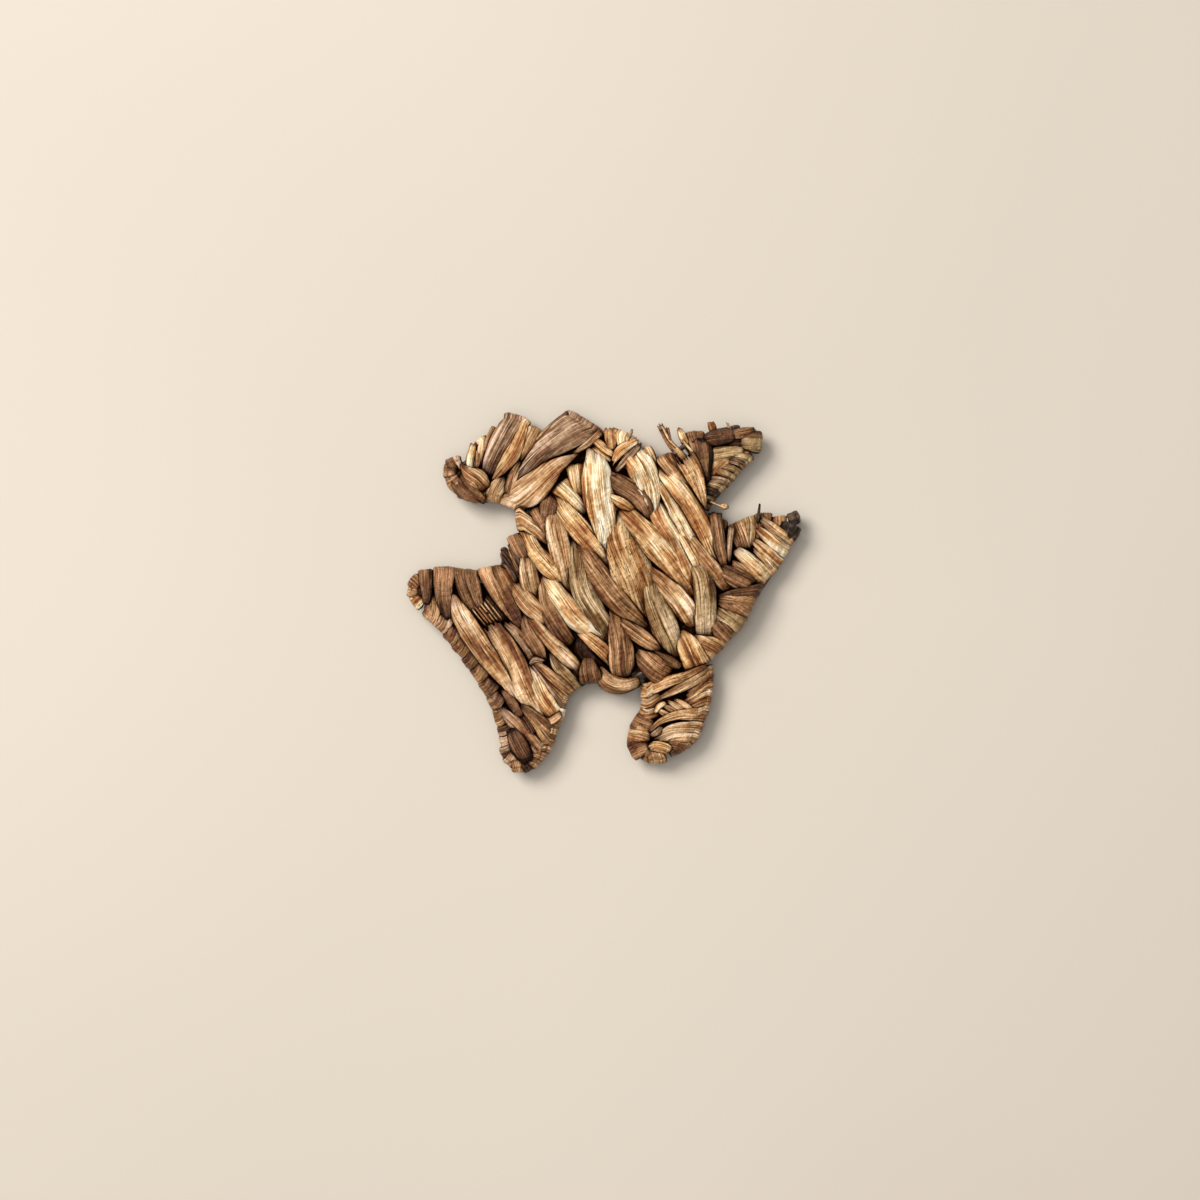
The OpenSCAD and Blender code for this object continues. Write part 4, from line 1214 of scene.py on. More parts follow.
@dataclass
class Tail(LeafAssembly):
    """Fan of leaf strips laced over the tail's wire."""

    def strips(self) -> dict[str, tuple[Strip, ...]]:
        """Gives the strips of each tail node.

        Returns:
            Strips by CAD node.
        """
        leaf, loose, hair, wraps, tone = self.leaf, self.loose, self.hair, self.wraps, Tone
        bristles = tuple(
            hair(tone.TAN, 1.6, (x, 17.5, 0.5), (x + 0.2, 14, 0.6),
                 (x + 0.5, 10.2 - 0.3 * step, 0.4))
            for step, x in enumerate((-44.6, -43.4, -42.5, -41.3, -40.2, -38.9)))
        return {
            "tail_top_leaf": (
                leaf(tone.BROWN, 2.6, (-34.6, 3, 1.6), (-33.9, 10, 5), (-33, 17, 7.4),
                     (-31.8, 25, 8.8)),
                leaf(tone.GOLD, 1.6, (-28.6, 13, 2.4), (-28.3, 18, 3.6), (-28, 23, 3.8)),
            ),
            "tail_top_lacing": (
                leaf(tone.UMBER, 1.0, (-44.8, 13.5, 2.6), (-43.9, 21, 3.8), (-42.6, 29, 3.6)),
                leaf(tone.UMBER, 1.8, (-42.2, 16, 2), (-40, 22, 3.8), (-37.7, 28.4, 4.2)),
                leaf(tone.UMBER, 2.6, (-55.8, 27.4, 2), (-53.2, 31.6, 3.4), (-49.6, 37.2, 4.6)),
                leaf(tone.UMBER, 2.0, (-53, 19.5, 1.6), (-51, 24, 4.4), (-48.2, 28.8, 6),
                     (-44.6, 33.6, 7.2)),
            ),
            "tail_tip_band": (
                # painted shade: dark hole at the tip
                loose(tone.PAINTED_SHADE, 2.4, (-56.4, 32.6, 2), (-55.2, 31.8, 2.6), (-53.6, 31, 2)),
                leaf(tone.BROWN, 0.8, (-52.8, 28.6, 2), (-55, 25, 5.2), (-57.8, 22.6, 5.4)),
                leaf(tone.CREAM, 1.0, (-55.8, 30.8, 2.4), (-57.4, 30.4, 4.6), (-59.8, 30.2, 5.6)),
                leaf(tone.TAN, 1.6, (-56, 32.4, 1.8), (-57.2, 33.8, 4), (-58.6, 35.6, 5)),
                leaf(tone.BROWN, 1.2, (-54.8, 32.6, 1.8), (-54.8, 35, 4), (-55, 37.4, 4.6)),
            ),
            "tail_edge_winding": wraps(
                0.2, 4.8, -2.6, ((-57.6, 20), (-56.9, 10), (-56.8, 0), (-57.5, -9), (-60, -20.5)),
                (tone.PINK, tone.BROWN, tone.BROWN, tone.UMBER, tone.BROWN, tone.UMBER, tone.GREY,
                 tone.BROWN)),
            "tail_long_leaf": (
                loose(tone.TAN, 3.0, (-46.9, 25.2, 0.8), (-48.7, 18.5, 5.6), (-49.2, 11, 6.9),
                      (-49.4, 3, 6.4), (-49.3, -5, 4.8), (-49.5, -11, 2.6), (-49.8, -16, 0.8),
                      camber=0.08),
            ),
            "tail_torn_leaf": (
                # painted shade: dark hollow under the bristles
                loose(tone.PAINTED_SHADE, 0.4, (-41, 18, 7), (-40.6, 13, 8.6), (-40.6, 8, 7.6), ridge=0.3),
                loose(tone.TAN, 2.4, (-42.5, 9, 5.2), (-42.7, 3, 6.6), (-43.5, -4, 8),
                      (-45.1, -11, 8.2), (-46.2, -17, 6.2), (-46.6, -22, 3.4), (-46.2, -26.4, 1.4),
                      tuck=(0, 0.8), crumple=0.75, fray=1.2),
                *bristles,
            ),
            "tail_olive_leaf": (
                leaf(tone.CREAM, 2.6, (-40.2, -9, 0.8), (-41.2, -15, 3.8), (-42.2, -20, 5.8),
                     (-42.2, -25, 5.6), (-41.8, -29.4, 4.4)),
            ),
            "tail_pleated_leaf": (
                leaf(tone.GREY, 2.4, (-39, -8.4, 0.8), (-38.9, -16, 1.6), (-38.6, -26.8, 2.2)),
                leaf(tone.TAN, 2.2, (-38.6, -8.4, 0.8), (-37.9, -15, 1.8), (-36.8, -25.8, 2.4)),
                leaf(tone.TAN, 3.4, (-38.2, -8.4, 0.8), (-36.9, -14.5, 1.6), (-34.9, -24.2, 2.2)),
                leaf(tone.BROWN, 3.3, (-37.6, -8.3, 0.8), (-35.8, -13.5, 1.9), (-33, -22.6, 2.4)),
                loose(tone.GREY, 3.6, (-39.4, -8.8, 0.8), (-37.2, -8.2, 1.8), (-35, -10.6, 1.2)),
            ),
            "tail_small_leaf": (
                # painted shade: dark gap beside the small leaf
                leaf(tone.PAINTED_SHADE, 0.8, (-30.5, -15, 3), (-29.6, -19, 4), (-29, -23.6, 4.6)),
                leaf(tone.OLIVE, 3.0, (-31.6, -9.5, 0.8), (-32.3, -14, 3.2), (-31.8, -18.5, 3.8),
                     (-31, -23.4, 3.2)),
            ),
            "tail_inner_leaf": (
                loose(tone.GREY, 2.2, (-38.6, 7.4, 1), (-37.5, 3, 2.4), (-37.3, -3, 2.4),
                      (-38, -8.4, 1.4)),
                loose(tone.UMBER, 2.5, (-37.2, 6.6, 0.8), (-36.2, 1.5, 2), (-36.2, -4, 1.8),
                      (-36.6, -8.5, 1)),
                loose(tone.UMBER, 2.8, (-31.7, 5.8, 1.2), (-33.5, 0.5, 4.4), (-33.9, -5, 4.4),
                      (-34.6, -10, 1.6)),
            ),
            "tail_low_leaf": (
                leaf(tone.PINK, 2.0, (-55.8, -15.8, 1.6), (-54.8, -20.6, 4), (-53.8, -27, 4.2),
                     (-53.2, -36.6, 4.6)),
            ),
            "tail_low_dark": (
                loose(tone.RUST, 2.4, (-51.6, -10.5, 1.4), (-51.6, -16, 3), (-52, -21.5, 2)),
                # painted shade: dark hollow under the hairs
                loose(tone.PAINTED_SHADE, 2.2, (-51, -20.5, 2), (-51.5, -25, 3.4), (-51.8, -29.4, 2),
                      ridge=0.3),
                *(hair(tone.RUST, 3.0, (x, -21.5, 0.5), (x - 0.2, -25, 0.7),
                       (x - 0.5, -28.5, 0.4)) for x in (-52, -51.2, -50.5)),
            ),
            "tail_low_fan": (
                leaf(tone.TAN, 2.8, (-50, -18.5, 0.9), (-49.6, -24, 2), (-49.6, -34.6, 3)),
                leaf(tone.BROWN, 3.1, (-49.8, -18.2, 0.9), (-48.6, -23.6, 2), (-47, -33, 2.6)),
                leaf(tone.UMBER, 3.4, (-49.4, -18, 0.9), (-47.6, -22.6, 2), (-45, -31.4, 2.4)),
                loose(tone.BROWN, 2.4, (-47, -24.6, 0.8), (-44.8, -28, 2.2), (-40.4, -28.2, 2)),
            ),
            "tail_low_knob": (
                # painted shade: dark outline around the knob
                loose(tone.PAINTED_SHADE, 2.8, (-57, -22.8, 3), (-57.7, -28.8, 5.8), (-58.4, -34.6, 3.6),
                      tuck=(0.6, 0.6)),
                loose(tone.RUST, 3.8, (-57, -23.6, 3), (-57.7, -28.8, 5.4), (-58.2, -33.8, 3.2),
                      tuck=(1.4, 1.4), camber=0.12),
            ),
            "tail_low_band": (
                *wraps(0.6, 4.6, -2, ((-59.8, -20.5), (-62.8, -25.5), (-64.7, -29.5)),
                       (tone.GREY, tone.PINK, tone.GREY)),
                *wraps(0.9, 4.2, -1, ((-64.7, -30), (-64, -34.8), (-61, -37.6)),
                       (tone.PINK, tone.ORANGE)),
                *wraps(0.7, 4.6, -1, ((-61, -37.6), (-56.5, -38), (-51, -36)),
                       (tone.RUST, tone.TAN, tone.BROWN)),
                *wraps(0.4, 4, -1.5, ((-51, -36), (-46.5, -33.4), (-40.8, -29)),
                       (tone.BROWN, tone.TAN)),
            ),
        }


@dataclass
class BackFin(LeafAssembly):
    """Leaf strips of the back fin and the leaf ends between it and the head."""

    def strips(self) -> dict[str, tuple[Strip, ...]]:
        """Gives the strips of each back fin node.

        Returns:
            Strips by CAD node.
        """
        leaf, loose, hair, wraps, tone = self.leaf, self.loose, self.hair, self.wraps, Tone
        return {
            "back_fin_root_leaf": (
                leaf(tone.TAN, 4.6, (13.2, 39.5, 0.6), (6, 40.1, 4.6), (0, 39.4, 7.8),
                     (-6, 38.5, 8.8), (-11, 38.4, 7.6), (-15.6, 38.9, 5)),
            ),
            "back_fin_wide_leaf": (
                loose(tone.TAN, 2.2, (12.5, 40.4, 0.8), (18, 40.2, 2), (24.4, 41, 1.8)),
                leaf(tone.GREY, 3.2, (-9, 43.6, 0.8), (-2, 45.6, 4), (5, 46.8, 6.4),
                     (12, 46.8, 8.8), (18, 46.5, 10.2), (23.6, 46, 9.8)),
            ),
            "back_fin_light_leaf": (
                leaf(tone.TAN, 1.4, (-3.2, 48.8, 1), (1.6, 51.2, 3.6), (8, 55.2, 5.4)),
                loose(tone.BROWN, 1.0, (3, 50.2, 1.6), (10, 51.4, 2.4), (18.8, 52.4, 1.8)),
            ),
            "back_fin_lens_leaf": (
                leaf(tone.GOLD, 2.6, (-14.5, 48.6, 0.6), (-9, 50, 3.6), (-4, 51.8, 4.8),
                     (1, 54.7, 3.6), (6.4, 58.8, 1.6)),
            ),
            "back_fin_grey_leaf": (
                leaf(tone.GREY, 2.0, (-14.6, 51.4, 3.4), (-10, 54.2, 6), (-4, 57.6, 6.8),
                     (1, 60, 6.6), (5.2, 62, 5.4)),
            ),
            "back_fin_edge_lacing": (
                leaf(tone.TAN, 2.2, (-11.4, 47.2, 2.4), (-15, 45.6, 5), (-19, 43.2, 5.4)),
                leaf(tone.BROWN, 3.2, (-3.6, 48.4, 0.8), (-8, 45.7, 3), (-14.8, 40.8, 3.2)),
                loose(tone.UMBER, 3.6, (-6, 47.6, 0.8), (-9.4, 45.6, 1.6), (-13.4, 42.6, 1.4)),
            ),
            "back_fin_knot_lens": (
                loose(tone.TAN, 3.4, (-20.3, 58.8, 0.6), (-19.6, 55, 4), (-18.3, 51.6, 6),
                      (-17.8, 47.8, 3.6), camber=0.1),
            ),
            "back_fin_knot_band": (
                *wraps(0.6, 4.6, 1, ((-27.6, 56), (-27.4, 51.5), (-25.2, 47.8), (-20.2, 43.6)),
                       (tone.TAN, tone.BROWN, tone.BROWN)),
                loose(tone.UMBER, 1.9, (-25.2, 55.8, 2.4), (-25, 52, 3.4), (-23.8, 48.6, 3),
                      (-21.4, 45.4, 1.6)),
                loose(tone.BROWN, 2.6, (-22.8, 55.8, 2), (-22.6, 51, 3.4), (-21.2, 47, 2.4),
                      (-20.2, 44.4, 1.2)),
            ),
            "back_fin_tip_band": (
                # painted shade: dark eye of the curl
                loose(tone.PAINTED_SHADE, 0.6, (-20.4, 57.8, 1.6), (-22, 57.4, 2.6), (-23.6, 57, 1.6)),
                leaf(tone.BROWN, 1.4, (-23, 56.4, 2), (-24.8, 56.4, 4.6), (-27.4, 56, 6)),
                leaf(tone.UMBER, 1.8, (-22.8, 57.8, 1.8), (-24.2, 59.4, 4), (-25.8, 61, 5)),
                leaf(tone.UMBER, 1.6, (-21.8, 58.4, 1.6), (-22, 60.4, 3.2), (-22.4, 62.6, 4)),
                leaf(tone.GREY, 2.0, (-20.8, 57.6, 1), (-20.4, 60, 1.8), (-20.4, 62.8, 2)),
                loose(tone.IVORY, 1.8, (-19.8, 54.2, 1.4), (-16.8, 58.2, 2.4), (-12.8, 61.8, 2)),
                leaf(tone.BROWN, 1.6, (-17.4, 54.6, 0.9), (-15, 56.4, 1.7), (-11.6, 62.4, 1.8)),
                leaf(tone.TAN, 1.2, (-15.4, 55, 1.4), (-12.4, 58.4, 2.2), (-8.8, 62, 2.4)),
                leaf(tone.TAN, 1.0, (-12, 57, 1.4), (-8, 60, 2.2), (-4, 63, 2.4)),
            ),
            "head_tuft": (
                loose(tone.GOLD, 2.8, (21.6, 31, 0.9), (20.2, 34.6, 2), (19.4, 38, 1.6)),
                loose(tone.GOLD, 3.1, (23.8, 31.2, 1), (22.2, 35, 2.6), (21, 39.6, 2.4)),
                loose(tone.GOLD, 3.4, (23.8, 33.8, 2.2), (25.6, 37, 3.8), (27.4, 39.8, 4),
                      fray=0.9),
                loose(tone.IVORY, 4.0, (21.4, 30.2, 1), (26, 32, 3.4), (32.8, 31.4, 2.2),
                      ridge=0.22, fray=1.2),
                loose(tone.GREY, 5.4, (20.4, 27.3, 1), (26, 28.6, 2.2), (32.2, 30, 1.4),
                      ridge=0.22),
                hair(tone.BROWN, 4.2, (29, 32.4, 0.7), (31, 34.2, 0.8), (33, 35.4, 0.9)),
            ),
        }


@dataclass
class BellyFin(LeafAssembly):
    """Leaf strips of the belly fin."""

    def strips(self) -> dict[str, tuple[Strip, ...]]:
        """Gives the strips of each belly fin node.

        Returns:
            Strips by CAD node.
        """
        leaf, loose, wraps, tone = self.leaf, self.loose, self.wraps, Tone
        crossed = tuple(
            loose(shade, 2.6 + 0.2 * step, (x, y, 0.8), (x + 1.4, y - 2.8, 2),
                  (x + 2.8, y - 5.8, 1.2))
            for step, (shade, x, y) in enumerate((
                (tone.TAN, -13.4, -45), (tone.BROWN, -11, -45), (tone.TAN, -8.8, -45.2),
                (tone.ORANGE, -6.6, -46))))
        return {
            "belly_fin_root_band": (
                leaf(tone.TAN, 2.6, (-10.5, -42.6, 1.2), (-4, -43.6, 2.6), (2, -44.4, 3),
                     (9.6, -44.8, 2.8)),
                leaf(tone.ORANGE, 3.6, (8.6, -42.6, 1), (1, -41.4, 2.4), (-6, -39.4, 3.4),
                     (-14.4, -37.6, 4.4)),
            ),
            "belly_fin_front_lacing": (
                *wraps(1.2, 8.5, -6.3, ((0, -55.6), (4.8, -51.2), (7.4, -48.2), (10, -44)),
                       (tone.TAN, tone.ORANGE, tone.TAN, tone.ORANGE, tone.TAN)),
                *crossed,
            ),
            "belly_fin_rear_lacing": (
                *wraps(1.6, 5, -4, ((-13.6, -37.6), (-16.6, -42), (-20.8, -44)),
                       (tone.GOLD, tone.TAN, tone.TAN)),
                loose(tone.GOLD, 3.0, (-9.8, -45, 1.2), (-12, -44.7, 1.8), (-14.6, -45.6, 1.2)),
                leaf(tone.UMBER, 1.2, (-17.6, -50.2, 2.4), (-19.4, -47, 5), (-21.8, -44, 6)),
                leaf(tone.TAN, 2.2, (-20.6, -51.6, 2), (-22.4, -49, 4.6), (-25.2, -46.6, 6.2)),
            ),
            "belly_fin_long_band": (
                leaf(tone.ORANGE, 3.6, (-19.6, -49.6, 1), (-14.4, -49.1, 1.8), (-9, -50.6, 2.8),
                     (-4.5, -53.4, 3.8), (-1, -56.8, 3.6)),
            ),
            "belly_fin_fan": (
                leaf(tone.BROWN, 1.2, (-18.6, -54.6, 1.6), (-15.6, -57.4, 3.6), (-12.6, -61.4, 4.4),
                     ridge=0.2),
                leaf(tone.TAN, 2.4, (-19.4, -53.2, 1.8), (-14, -54.4, 5.2), (-9, -57.4, 6.8),
                     (-6, -59.8, 6.6), ridge=0.25),
                loose(tone.GREY, 3.0, (-20, -51.2, 1.2), (-17.6, -51.4, 2.2), (-15.2, -50.8, 1),
                      fray=0.8),
            ),
            "belly_fin_tip_band": (
                leaf(tone.BROWN, 1.2, (-22.6, -53, 2.4), (-25.2, -52.2, 5.4), (-28.8, -51.4, 7.4)),
                leaf(tone.UMBER, 0.8, (-17.4, -58, 1.6), (-16.6, -59.4, 3), (-16, -61.6, 3.4)),
                leaf(tone.TAN, 1.8, (-21.6, -55.4, 2), (-22.6, -57.8, 5), (-23.4, -61.2, 6.4)),
                leaf(tone.UMBER, 1.5, (-23, -54.6, 2), (-25.4, -56.2, 4.4), (-27.6, -57.6, 5.6)),
                loose(tone.GOLD, 2.8, (-23, -54.4, 1.4), (-21, -54.8, 3.2), (-18.8, -57, 3.6),
                      (-17.6, -59.2, 2.4)),
            ),
        }


@dataclass
class UpperJaw(LeafAssembly):
    """Leaf strips of the upper jaw."""

    def strips(self) -> dict[str, tuple[Strip, ...]]:
        """Gives the strips of each upper jaw node.

        Returns:
            Strips by CAD node.
        """
        leaf, loose, hair, wraps, tone = self.leaf, self.loose, self.hair, self.wraps, Tone
        return {
            "upper_jaw_lacing": (
                loose(tone.GOLD, 0.4, (43.4, 8.6, 3), (50, 9.6, 6.4), (56, 9.4, 6.8),
                      (61.5, 8.4, 4)),
                # painted shade: dark hollow
                loose(tone.PAINTED_SHADE, 1.5, (56, 14, 2), (58.6, 12.4, 3), (61.6, 11.2, 2)),
                loose(tone.OLIVE, 1.8, (45.6, 14.6, 1.6), (50.4, 13.4, 4.2), (55.6, 11, 3.8),
                      (59.8, 8.8, 1.6)),
                *wraps(1.4, 6.2, -3.6, ((38.5, -0.2), (44.5, 1.2), (52, 2.8), (61.5, 4.4)),
                       (tone.GREY, tone.OLIVE, tone.DARK, tone.OLIVE, tone.GREY, tone.OLIVE,
                        tone.OLIVE, tone.GREY, tone.OLIVE)),
            ),
            "upper_jaw_dark_leaf": (
                # painted shade: shadow under the dark leaf
                loose(tone.PAINTED_SHADE, 3.4, (43.7, 7, 1), (45.6, 12.4, 5.6), (48, 16.6, 6.8),
                      (49.4, 20.4, 5)),
                leaf(tone.UMBER, 4.2, (43.7, 8, 0.8), (45.2, 13, 5), (47.8, 18, 6.4),
                     (49.6, 23.8, 5.2)),
            ),
            "upper_jaw_roll": (
                *wraps(0.6, 4.2, 0, ((67, 12.4), (60, 18), (52.6, 21.4)),
                       (tone.OLIVE, tone.DARK, tone.BROWN)),
                loose(tone.RUST, 2.6, (51.4, 19, 3.4), (54.6, 17.4, 5), (58.4, 15.4, 4.6),
                      (60.2, 14.6, 2.4), camber=0.2),
                loose(tone.UMBER, 2.2, (58.6, 15.6, 2), (62, 13.8, 3.4), (66, 12, 2.4),
                      camber=0.16),
                hair(tone.ORANGE, 1.6, (54.6, 19, 1.6), (55.4, 21, 2.4), (56, 23, 1.8)),
                hair(tone.TAN, 1.4, (59.6, 16, 0.8), (60, 18, 0.9), (60.4, 19.6, 0.6)),
            ),
            "upper_jaw_frayed_leaf": (
                loose(tone.CREAM, 3.0, (45.2, 20.6, 1.6), (45.4, 23.6, 2.2), (46, 26.4, 1.6),
                      fray=1.2),
                loose(tone.ORANGE, 3.6, (42, 14, 2), (41.8, 19, 1.9), (41.2, 25, 1.3),
                      (41.9, 31.4, 1.1), fray=1.8, ridge=0.2),
                loose(tone.SPECK, 6.4, (42, 17.4, 6.4), (41.4, 12, 5.6), (40.2, 7, 3.8),
                      (38.2, 0.8, 0.9), tuck=(0.4, 1.6), fray=1.8),
                loose(tone.CREAM, 5.6, (44.8, 23, 0.6), (45, 17, 0.9), (43.6, 10, 0.7)),
                hair(tone.BROWN, 3.8, (41.2, 25, 0.8), (42.4, 27.6, 0.8), (43, 29.4, 1)),
                hair(tone.BROWN, 3.9, (41.6, 21, 0.8), (40.6, 26, 0.8), (40.8, 30.2, 0.9)),
                hair(tone.ORANGE, 2.0, (40.4, 1.6, 0.4), (42.4, -1.4, 0.5), (43.6, -2.8, 2),
                     (44.8, -3.8, 0.6)),
            ),
            "upper_jaw_tip_band": (
                leaf(tone.OLIVE, 2.2, (60.4, 11.8, 3.6), (63, 10, 5.6), (67, 7.2, 6.8)),
            ),
        }


@dataclass
class LowerJaw(LeafAssembly):
    """Leaf strips of the lower jaw."""

    def strips(self) -> dict[str, tuple[Strip, ...]]:
        """Gives the strips of each lower jaw node.

        Returns:
            Strips by CAD node.
        """
        leaf, loose, hair, wraps, tone = self.leaf, self.loose, self.hair, self.wraps, Tone
        return {
            "lower_jaw_back_lacing": (
                *wraps(0.8, 9.5, 2,
                       ((59.6, -16.2), (54.4, -12.8), (50, -10.4), (46, -8.8), (40.6, -8.6)),
                       (tone.TAN, tone.BROWN, tone.OLIVE, tone.BROWN)),
                hair(tone.DARK, 1.6, (49.6, -13.4, 1), (51.6, -11.2, 0.9), (53.6, -9, 0.6)),
            ),
            "lower_jaw_front_lacing": (
                leaf(tone.CREAM, 1.8, (35.2, -19.6, 1.6), (36.8, -24, 3), (38.8, -31.4, 3.6)),
                leaf(tone.CREAM, 2.2, (38.4, -16.6, 2.4), (39.8, -21.6, 4.4), (41.8, -30.8, 4.8)),
                leaf(tone.TAN, 1.4, (43.6, -20, 1.4), (44.2, -24, 2.6), (45, -30.2, 3.2)),
                leaf(tone.CREAM, 2.0, (45.2, -17.6, 2), (46.2, -22.4, 3.6), (47.6, -29.4, 4.2)),
                leaf(tone.CREAM, 2.4, (48.4, -15.2, 2), (49.8, -20.6, 3.8), (52, -27.2, 4.4)),
                leaf(tone.TAN, 2.8, (51.2, -13.2, 1.6), (52.8, -18.6, 3.2), (55.2, -25.8, 4)),
            ),
            "lower_jaw_fan": (
                leaf(tone.UMBER, 3.4, (31.5, -21.4, 0.8), (33.4, -15, 2.8), (36.2, -9.6, 4.4),
                     (40, -5.2, 4.8)),
                loose(tone.GREY, 3.8, (34.2, -18.8, 0.8), (37.6, -14.2, 1.8), (41.8, -9.6, 2)),
            ),
            "lower_jaw_tip_band": (
                leaf(tone.DARK, 2.2, (55.2, -19.2, 3), (56.8, -21.4, 4.4), (58.6, -25.6, 4.6)),
                leaf(tone.DARK, 2.8, (58.4, -18.6, 2.6), (60, -19.2, 3.6), (63.2, -19.7, 4.2)),
            ),
        }


@dataclass
class PaintedShadeLining:
    """Painted shade: dark layers inside the fish, seen only in the gaps between the strips, where
    they stand for the shade there.
    """

    palette: Palette
    body_half: float = 2.6
    fin_half: float = 1.1
    rim: float = 0.86
    rim_half: float = 0.4

    def outlines(self) -> dict[str, tuple[float, tuple[Point, ...]]]:
        """Gives each layer's half thickness and outline in millimetres.

        Returns:
            Half thickness and corners by name.
        """
        return {
            "painted_shade_body": (self.body_half, (
                (-28, 20), (-20, 25), (-12, 30), (0, 32), (14, 33), (24, 31), (31, 24), (34, 10),
                (34, -10), (32, -24), (24, -33), (10, -36), (-4, -35), (-14, -30), (-20, -26),
                (-28, -20), (-31, 0))),
            "painted_shade_tail": (self.fin_half, (
                (-29, 19), (-36, 22), (-44, 27), (-54, 32), (-56, 28), (-54.5, 15), (-54, 0),
                (-55, -14), (-60, -28), (-57, -33), (-48, -30), (-40, -25), (-29, -19))),
            "painted_shade_back_fin": (self.fin_half, (
                (-10, 34), (-16, 43), (-22, 48), (-24, 54), (-21, 58), (-17, 54), (-10, 57),
                (-2, 60), (3, 58), (5, 54), (11, 50), (19, 49.5), (22, 43), (26, 37), (24, 31),
                (5, 32))),
            "painted_shade_belly_fin": (self.fin_half, (
                (-11, -34), (-15, -42), (-22, -48), (-25, -53), (-21, -57.5), (-12, -58), (-4, -54),
                (3, -49), (7, -44), (6, -38))),
            "painted_shade_upper_jaw": (self.fin_half, (
                (33, 1), (33, 20), (42, 18), (49, 19), (58, 15), (64, 11), (62, 7.5), (52, 7),
                (44, 5), (41, 2.5))),
            "painted_shade_lower_jaw": (self.fin_half, (
                (31, -8), (38, -9), (44, -13), (50, -15), (56, -18.5), (59, -20), (57, -22),
                (50, -24.5), (42, -26.5), (34, -31), (27, -32))),
        }

    def slab(self, name: str, half: float, outline: Sequence[Point]) -> bpy.types.Object:
        """Builds one layer, thick in the middle and thin at its rim.

        Args:
            name: Name of the piece.
            half: Half of its thickness in millimetres.
            outline: Its corners.

        Returns:
            The piece.
        """
        rim = np.array(outline, float)
        after = np.roll(rim, -1, axis=0)
        if np.sum(rim[:, 0] * after[:, 1] - rim[:, 1] * after[:, 0]) < 0:
            rim = rim[::-1]
        inner = rim.mean(0) + (rim - rim.mean(0)) * self.rim
        size, thin = len(rim), half * self.rim_half
        levels = ((inner, half), (rim, thin), (rim, -thin), (inner, -half))
        points = np.vstack([np.column_stack((ring, np.full(size, level)))
                            for ring, level in levels])
        faces = [tuple(range(size)), tuple(range(4 * size - 1, 3 * size - 1, -1))]
        for low in range(0, 3 * size, size):
            for col in range(size):
                near = (col + 1) % size
                faces.append((low + near, low + col, low + size + col, low + size + near))
        maps = {"fibre": points[:, :2], "span": np.full((len(points), 2), 0.5)}
        return mesh_piece(name, points, faces, maps, [self.palette.of(Tone.PAINTED_SHADE)])

    def build(self) -> None:
        """Builds all the layers."""
        for name, (half, outline) in self.outlines().items():
            # each layer is painted shade for the gaps between strips
            piece = self.slab(name, half, outline)
            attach(piece, "root")
            LOG.info("%s", piece.name)


@dataclass
class WireFrame:
    """The three wires, which keep their CAD shape."""

    finish: WireFinish
    names: tuple[str, ...] = ("frame_wire", "back_fin_wire", "belly_fin_wire")

    def build(self) -> None:
        """Dresses the wires."""
        steel = self.finish.material()
        for name in self.names:
            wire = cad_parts[name]
            wire.data.materials.clear()
            wire.data.materials.append(steel)
            LOG.info("%s", name)


@dataclass(frozen=True)
class Lamp:
    """One soft lamp: place and width in metres, power in watts, colour as seen."""

    name: str
    place: Station
    power: float
    size: float
    tint: Colour

    def build(self) -> None:
        """Hangs the lamp so that it points at the fish."""
        light = bpy.data.lights.new(self.name, "AREA")
        light.energy = self.power
        light.size = self.size
        light.color = linear(*self.tint)[:3]
        lamp = bpy.data.objects.new(self.name, light)
        lamp.location = self.place
        x, y, z = self.place
        lamp.rotation_euler = (math.atan2(math.hypot(x, y), z), 0.0, math.atan2(x, -y))
        bpy.context.scene.collection.objects.link(lamp)


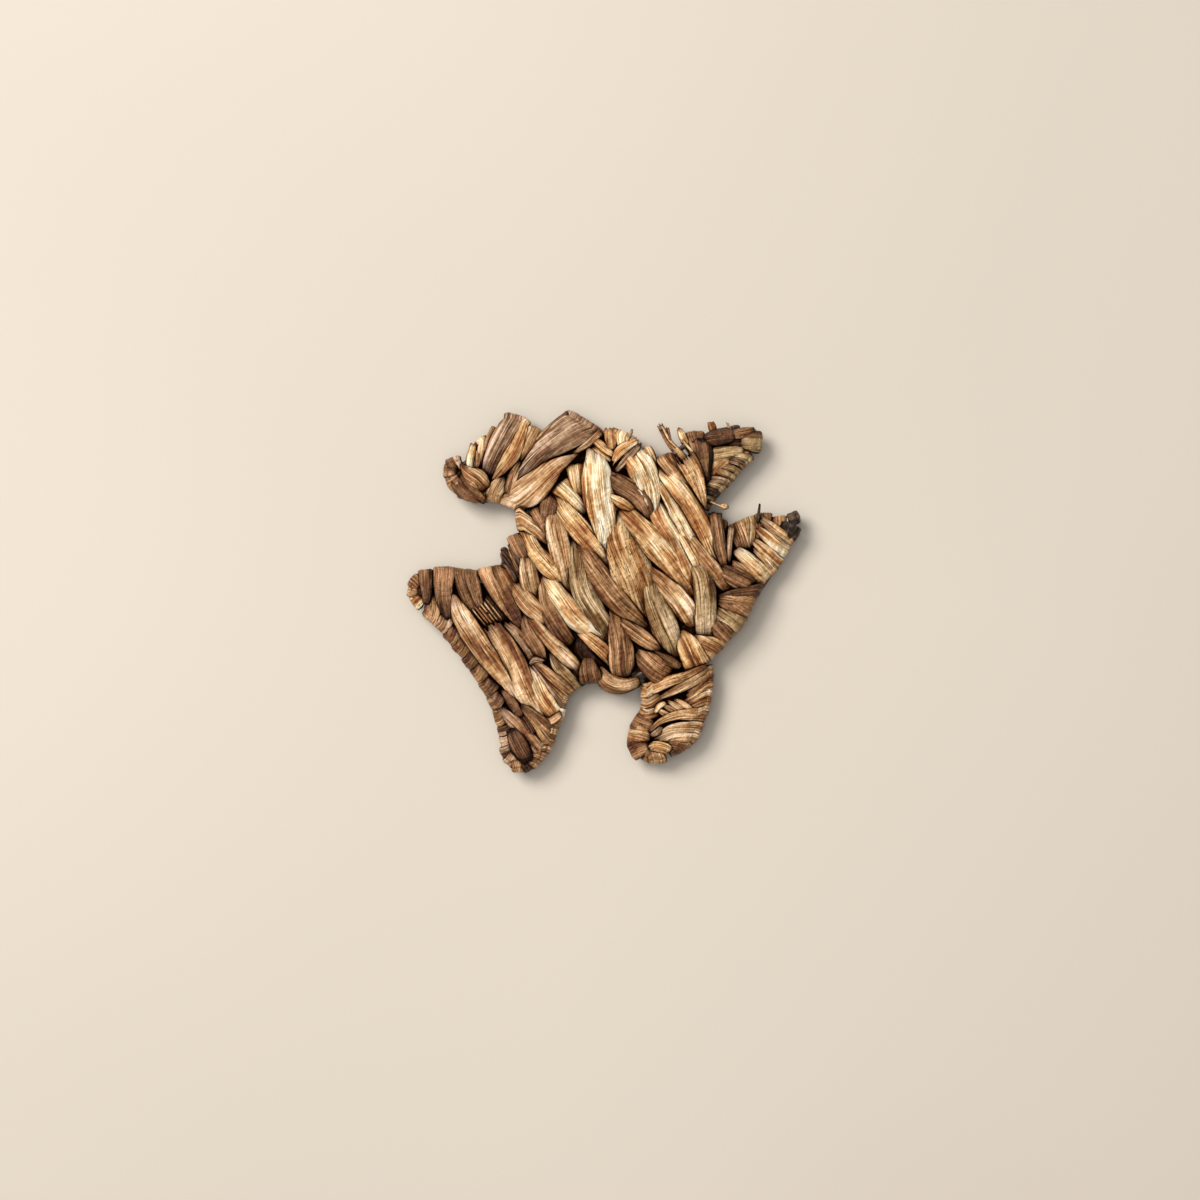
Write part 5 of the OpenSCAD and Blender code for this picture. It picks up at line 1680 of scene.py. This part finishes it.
@dataclass
class Studio:
    """Floor, light and camera."""

    finish: FloorFinish
    floor_half: float = 6.0
    floor_level: float = -0.0004
    lamps: tuple[Lamp, ...] = (Lamp("key", (-0.35, 1.2, 1.5), 43.0, 0.9, (255, 250, 243)),
                               Lamp("top", (-0.2, 0.25, 1.4), 13.0, 1.5, (255, 251, 246)))
    sky: Colour = (250, 246, 240)
    sky_strength: float = 0.34
    aim: Point = (-0.01028, -0.00587)
    turn: float = -35.0
    view: float = 0.400
    lens: float = 85.0
    sensor: float = 36.0

    def floor(self) -> None:
        """Lays the floor under the fish."""
        half = self.floor_half
        mesh = bpy.data.meshes.new("floor")
        corners = [(-half, -half, 0), (half, -half, 0), (half, half, 0), (-half, half, 0)]
        mesh.from_pydata(corners, [], [(0, 1, 2, 3)])
        mesh.materials.append(self.finish.material())
        piece = bpy.data.objects.new("floor", mesh)
        bpy.context.scene.collection.objects.link(piece)
        piece.location.z = self.floor_level

    def camera(self) -> None:
        """Sets the camera straight above the fish, turned as in the photograph."""
        data = bpy.data.cameras.new("camera")
        data.lens = self.lens
        data.sensor_width = self.sensor
        camera = bpy.data.objects.new("camera", data)
        camera.location = (*self.aim, self.view * self.lens / self.sensor + MID_Z * MM)
        camera.rotation_euler = (0.0, 0.0, math.radians(self.turn))
        bpy.context.scene.collection.objects.link(camera)
        bpy.context.scene.camera = camera

    def build(self) -> None:
        """Sets up the whole studio."""
        self.floor()
        for lamp in self.lamps:
            lamp.build()
        world = bpy.data.worlds.new("studio")
        world.use_nodes = True
        sky = world.node_tree.nodes["Background"]
        sky.inputs["Color"].default_value = linear(*self.sky)
        sky.inputs["Strength"].default_value = self.sky_strength
        bpy.context.scene.world = world
        bpy.context.scene.view_settings.view_transform = "Standard"
        self.camera()
        LOG.info("studio")


def main() -> None:
    """Builds the fish and its studio."""
    logging.basicConfig(level=logging.INFO, format="%(name)s %(message)s")
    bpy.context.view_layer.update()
    palette = Palette(FINISHES)
    Studio(FloorFinish()).build()
    WireFrame(WireFinish()).build()
    PaintedShadeLining(palette).build()
    for step, part in enumerate((Body, Tail, BackFin, BellyFin, UpperJaw, LowerJaw), 1):
        part(palette, step * SEED_STEP).build()


if __name__ == "__main__":
    main()
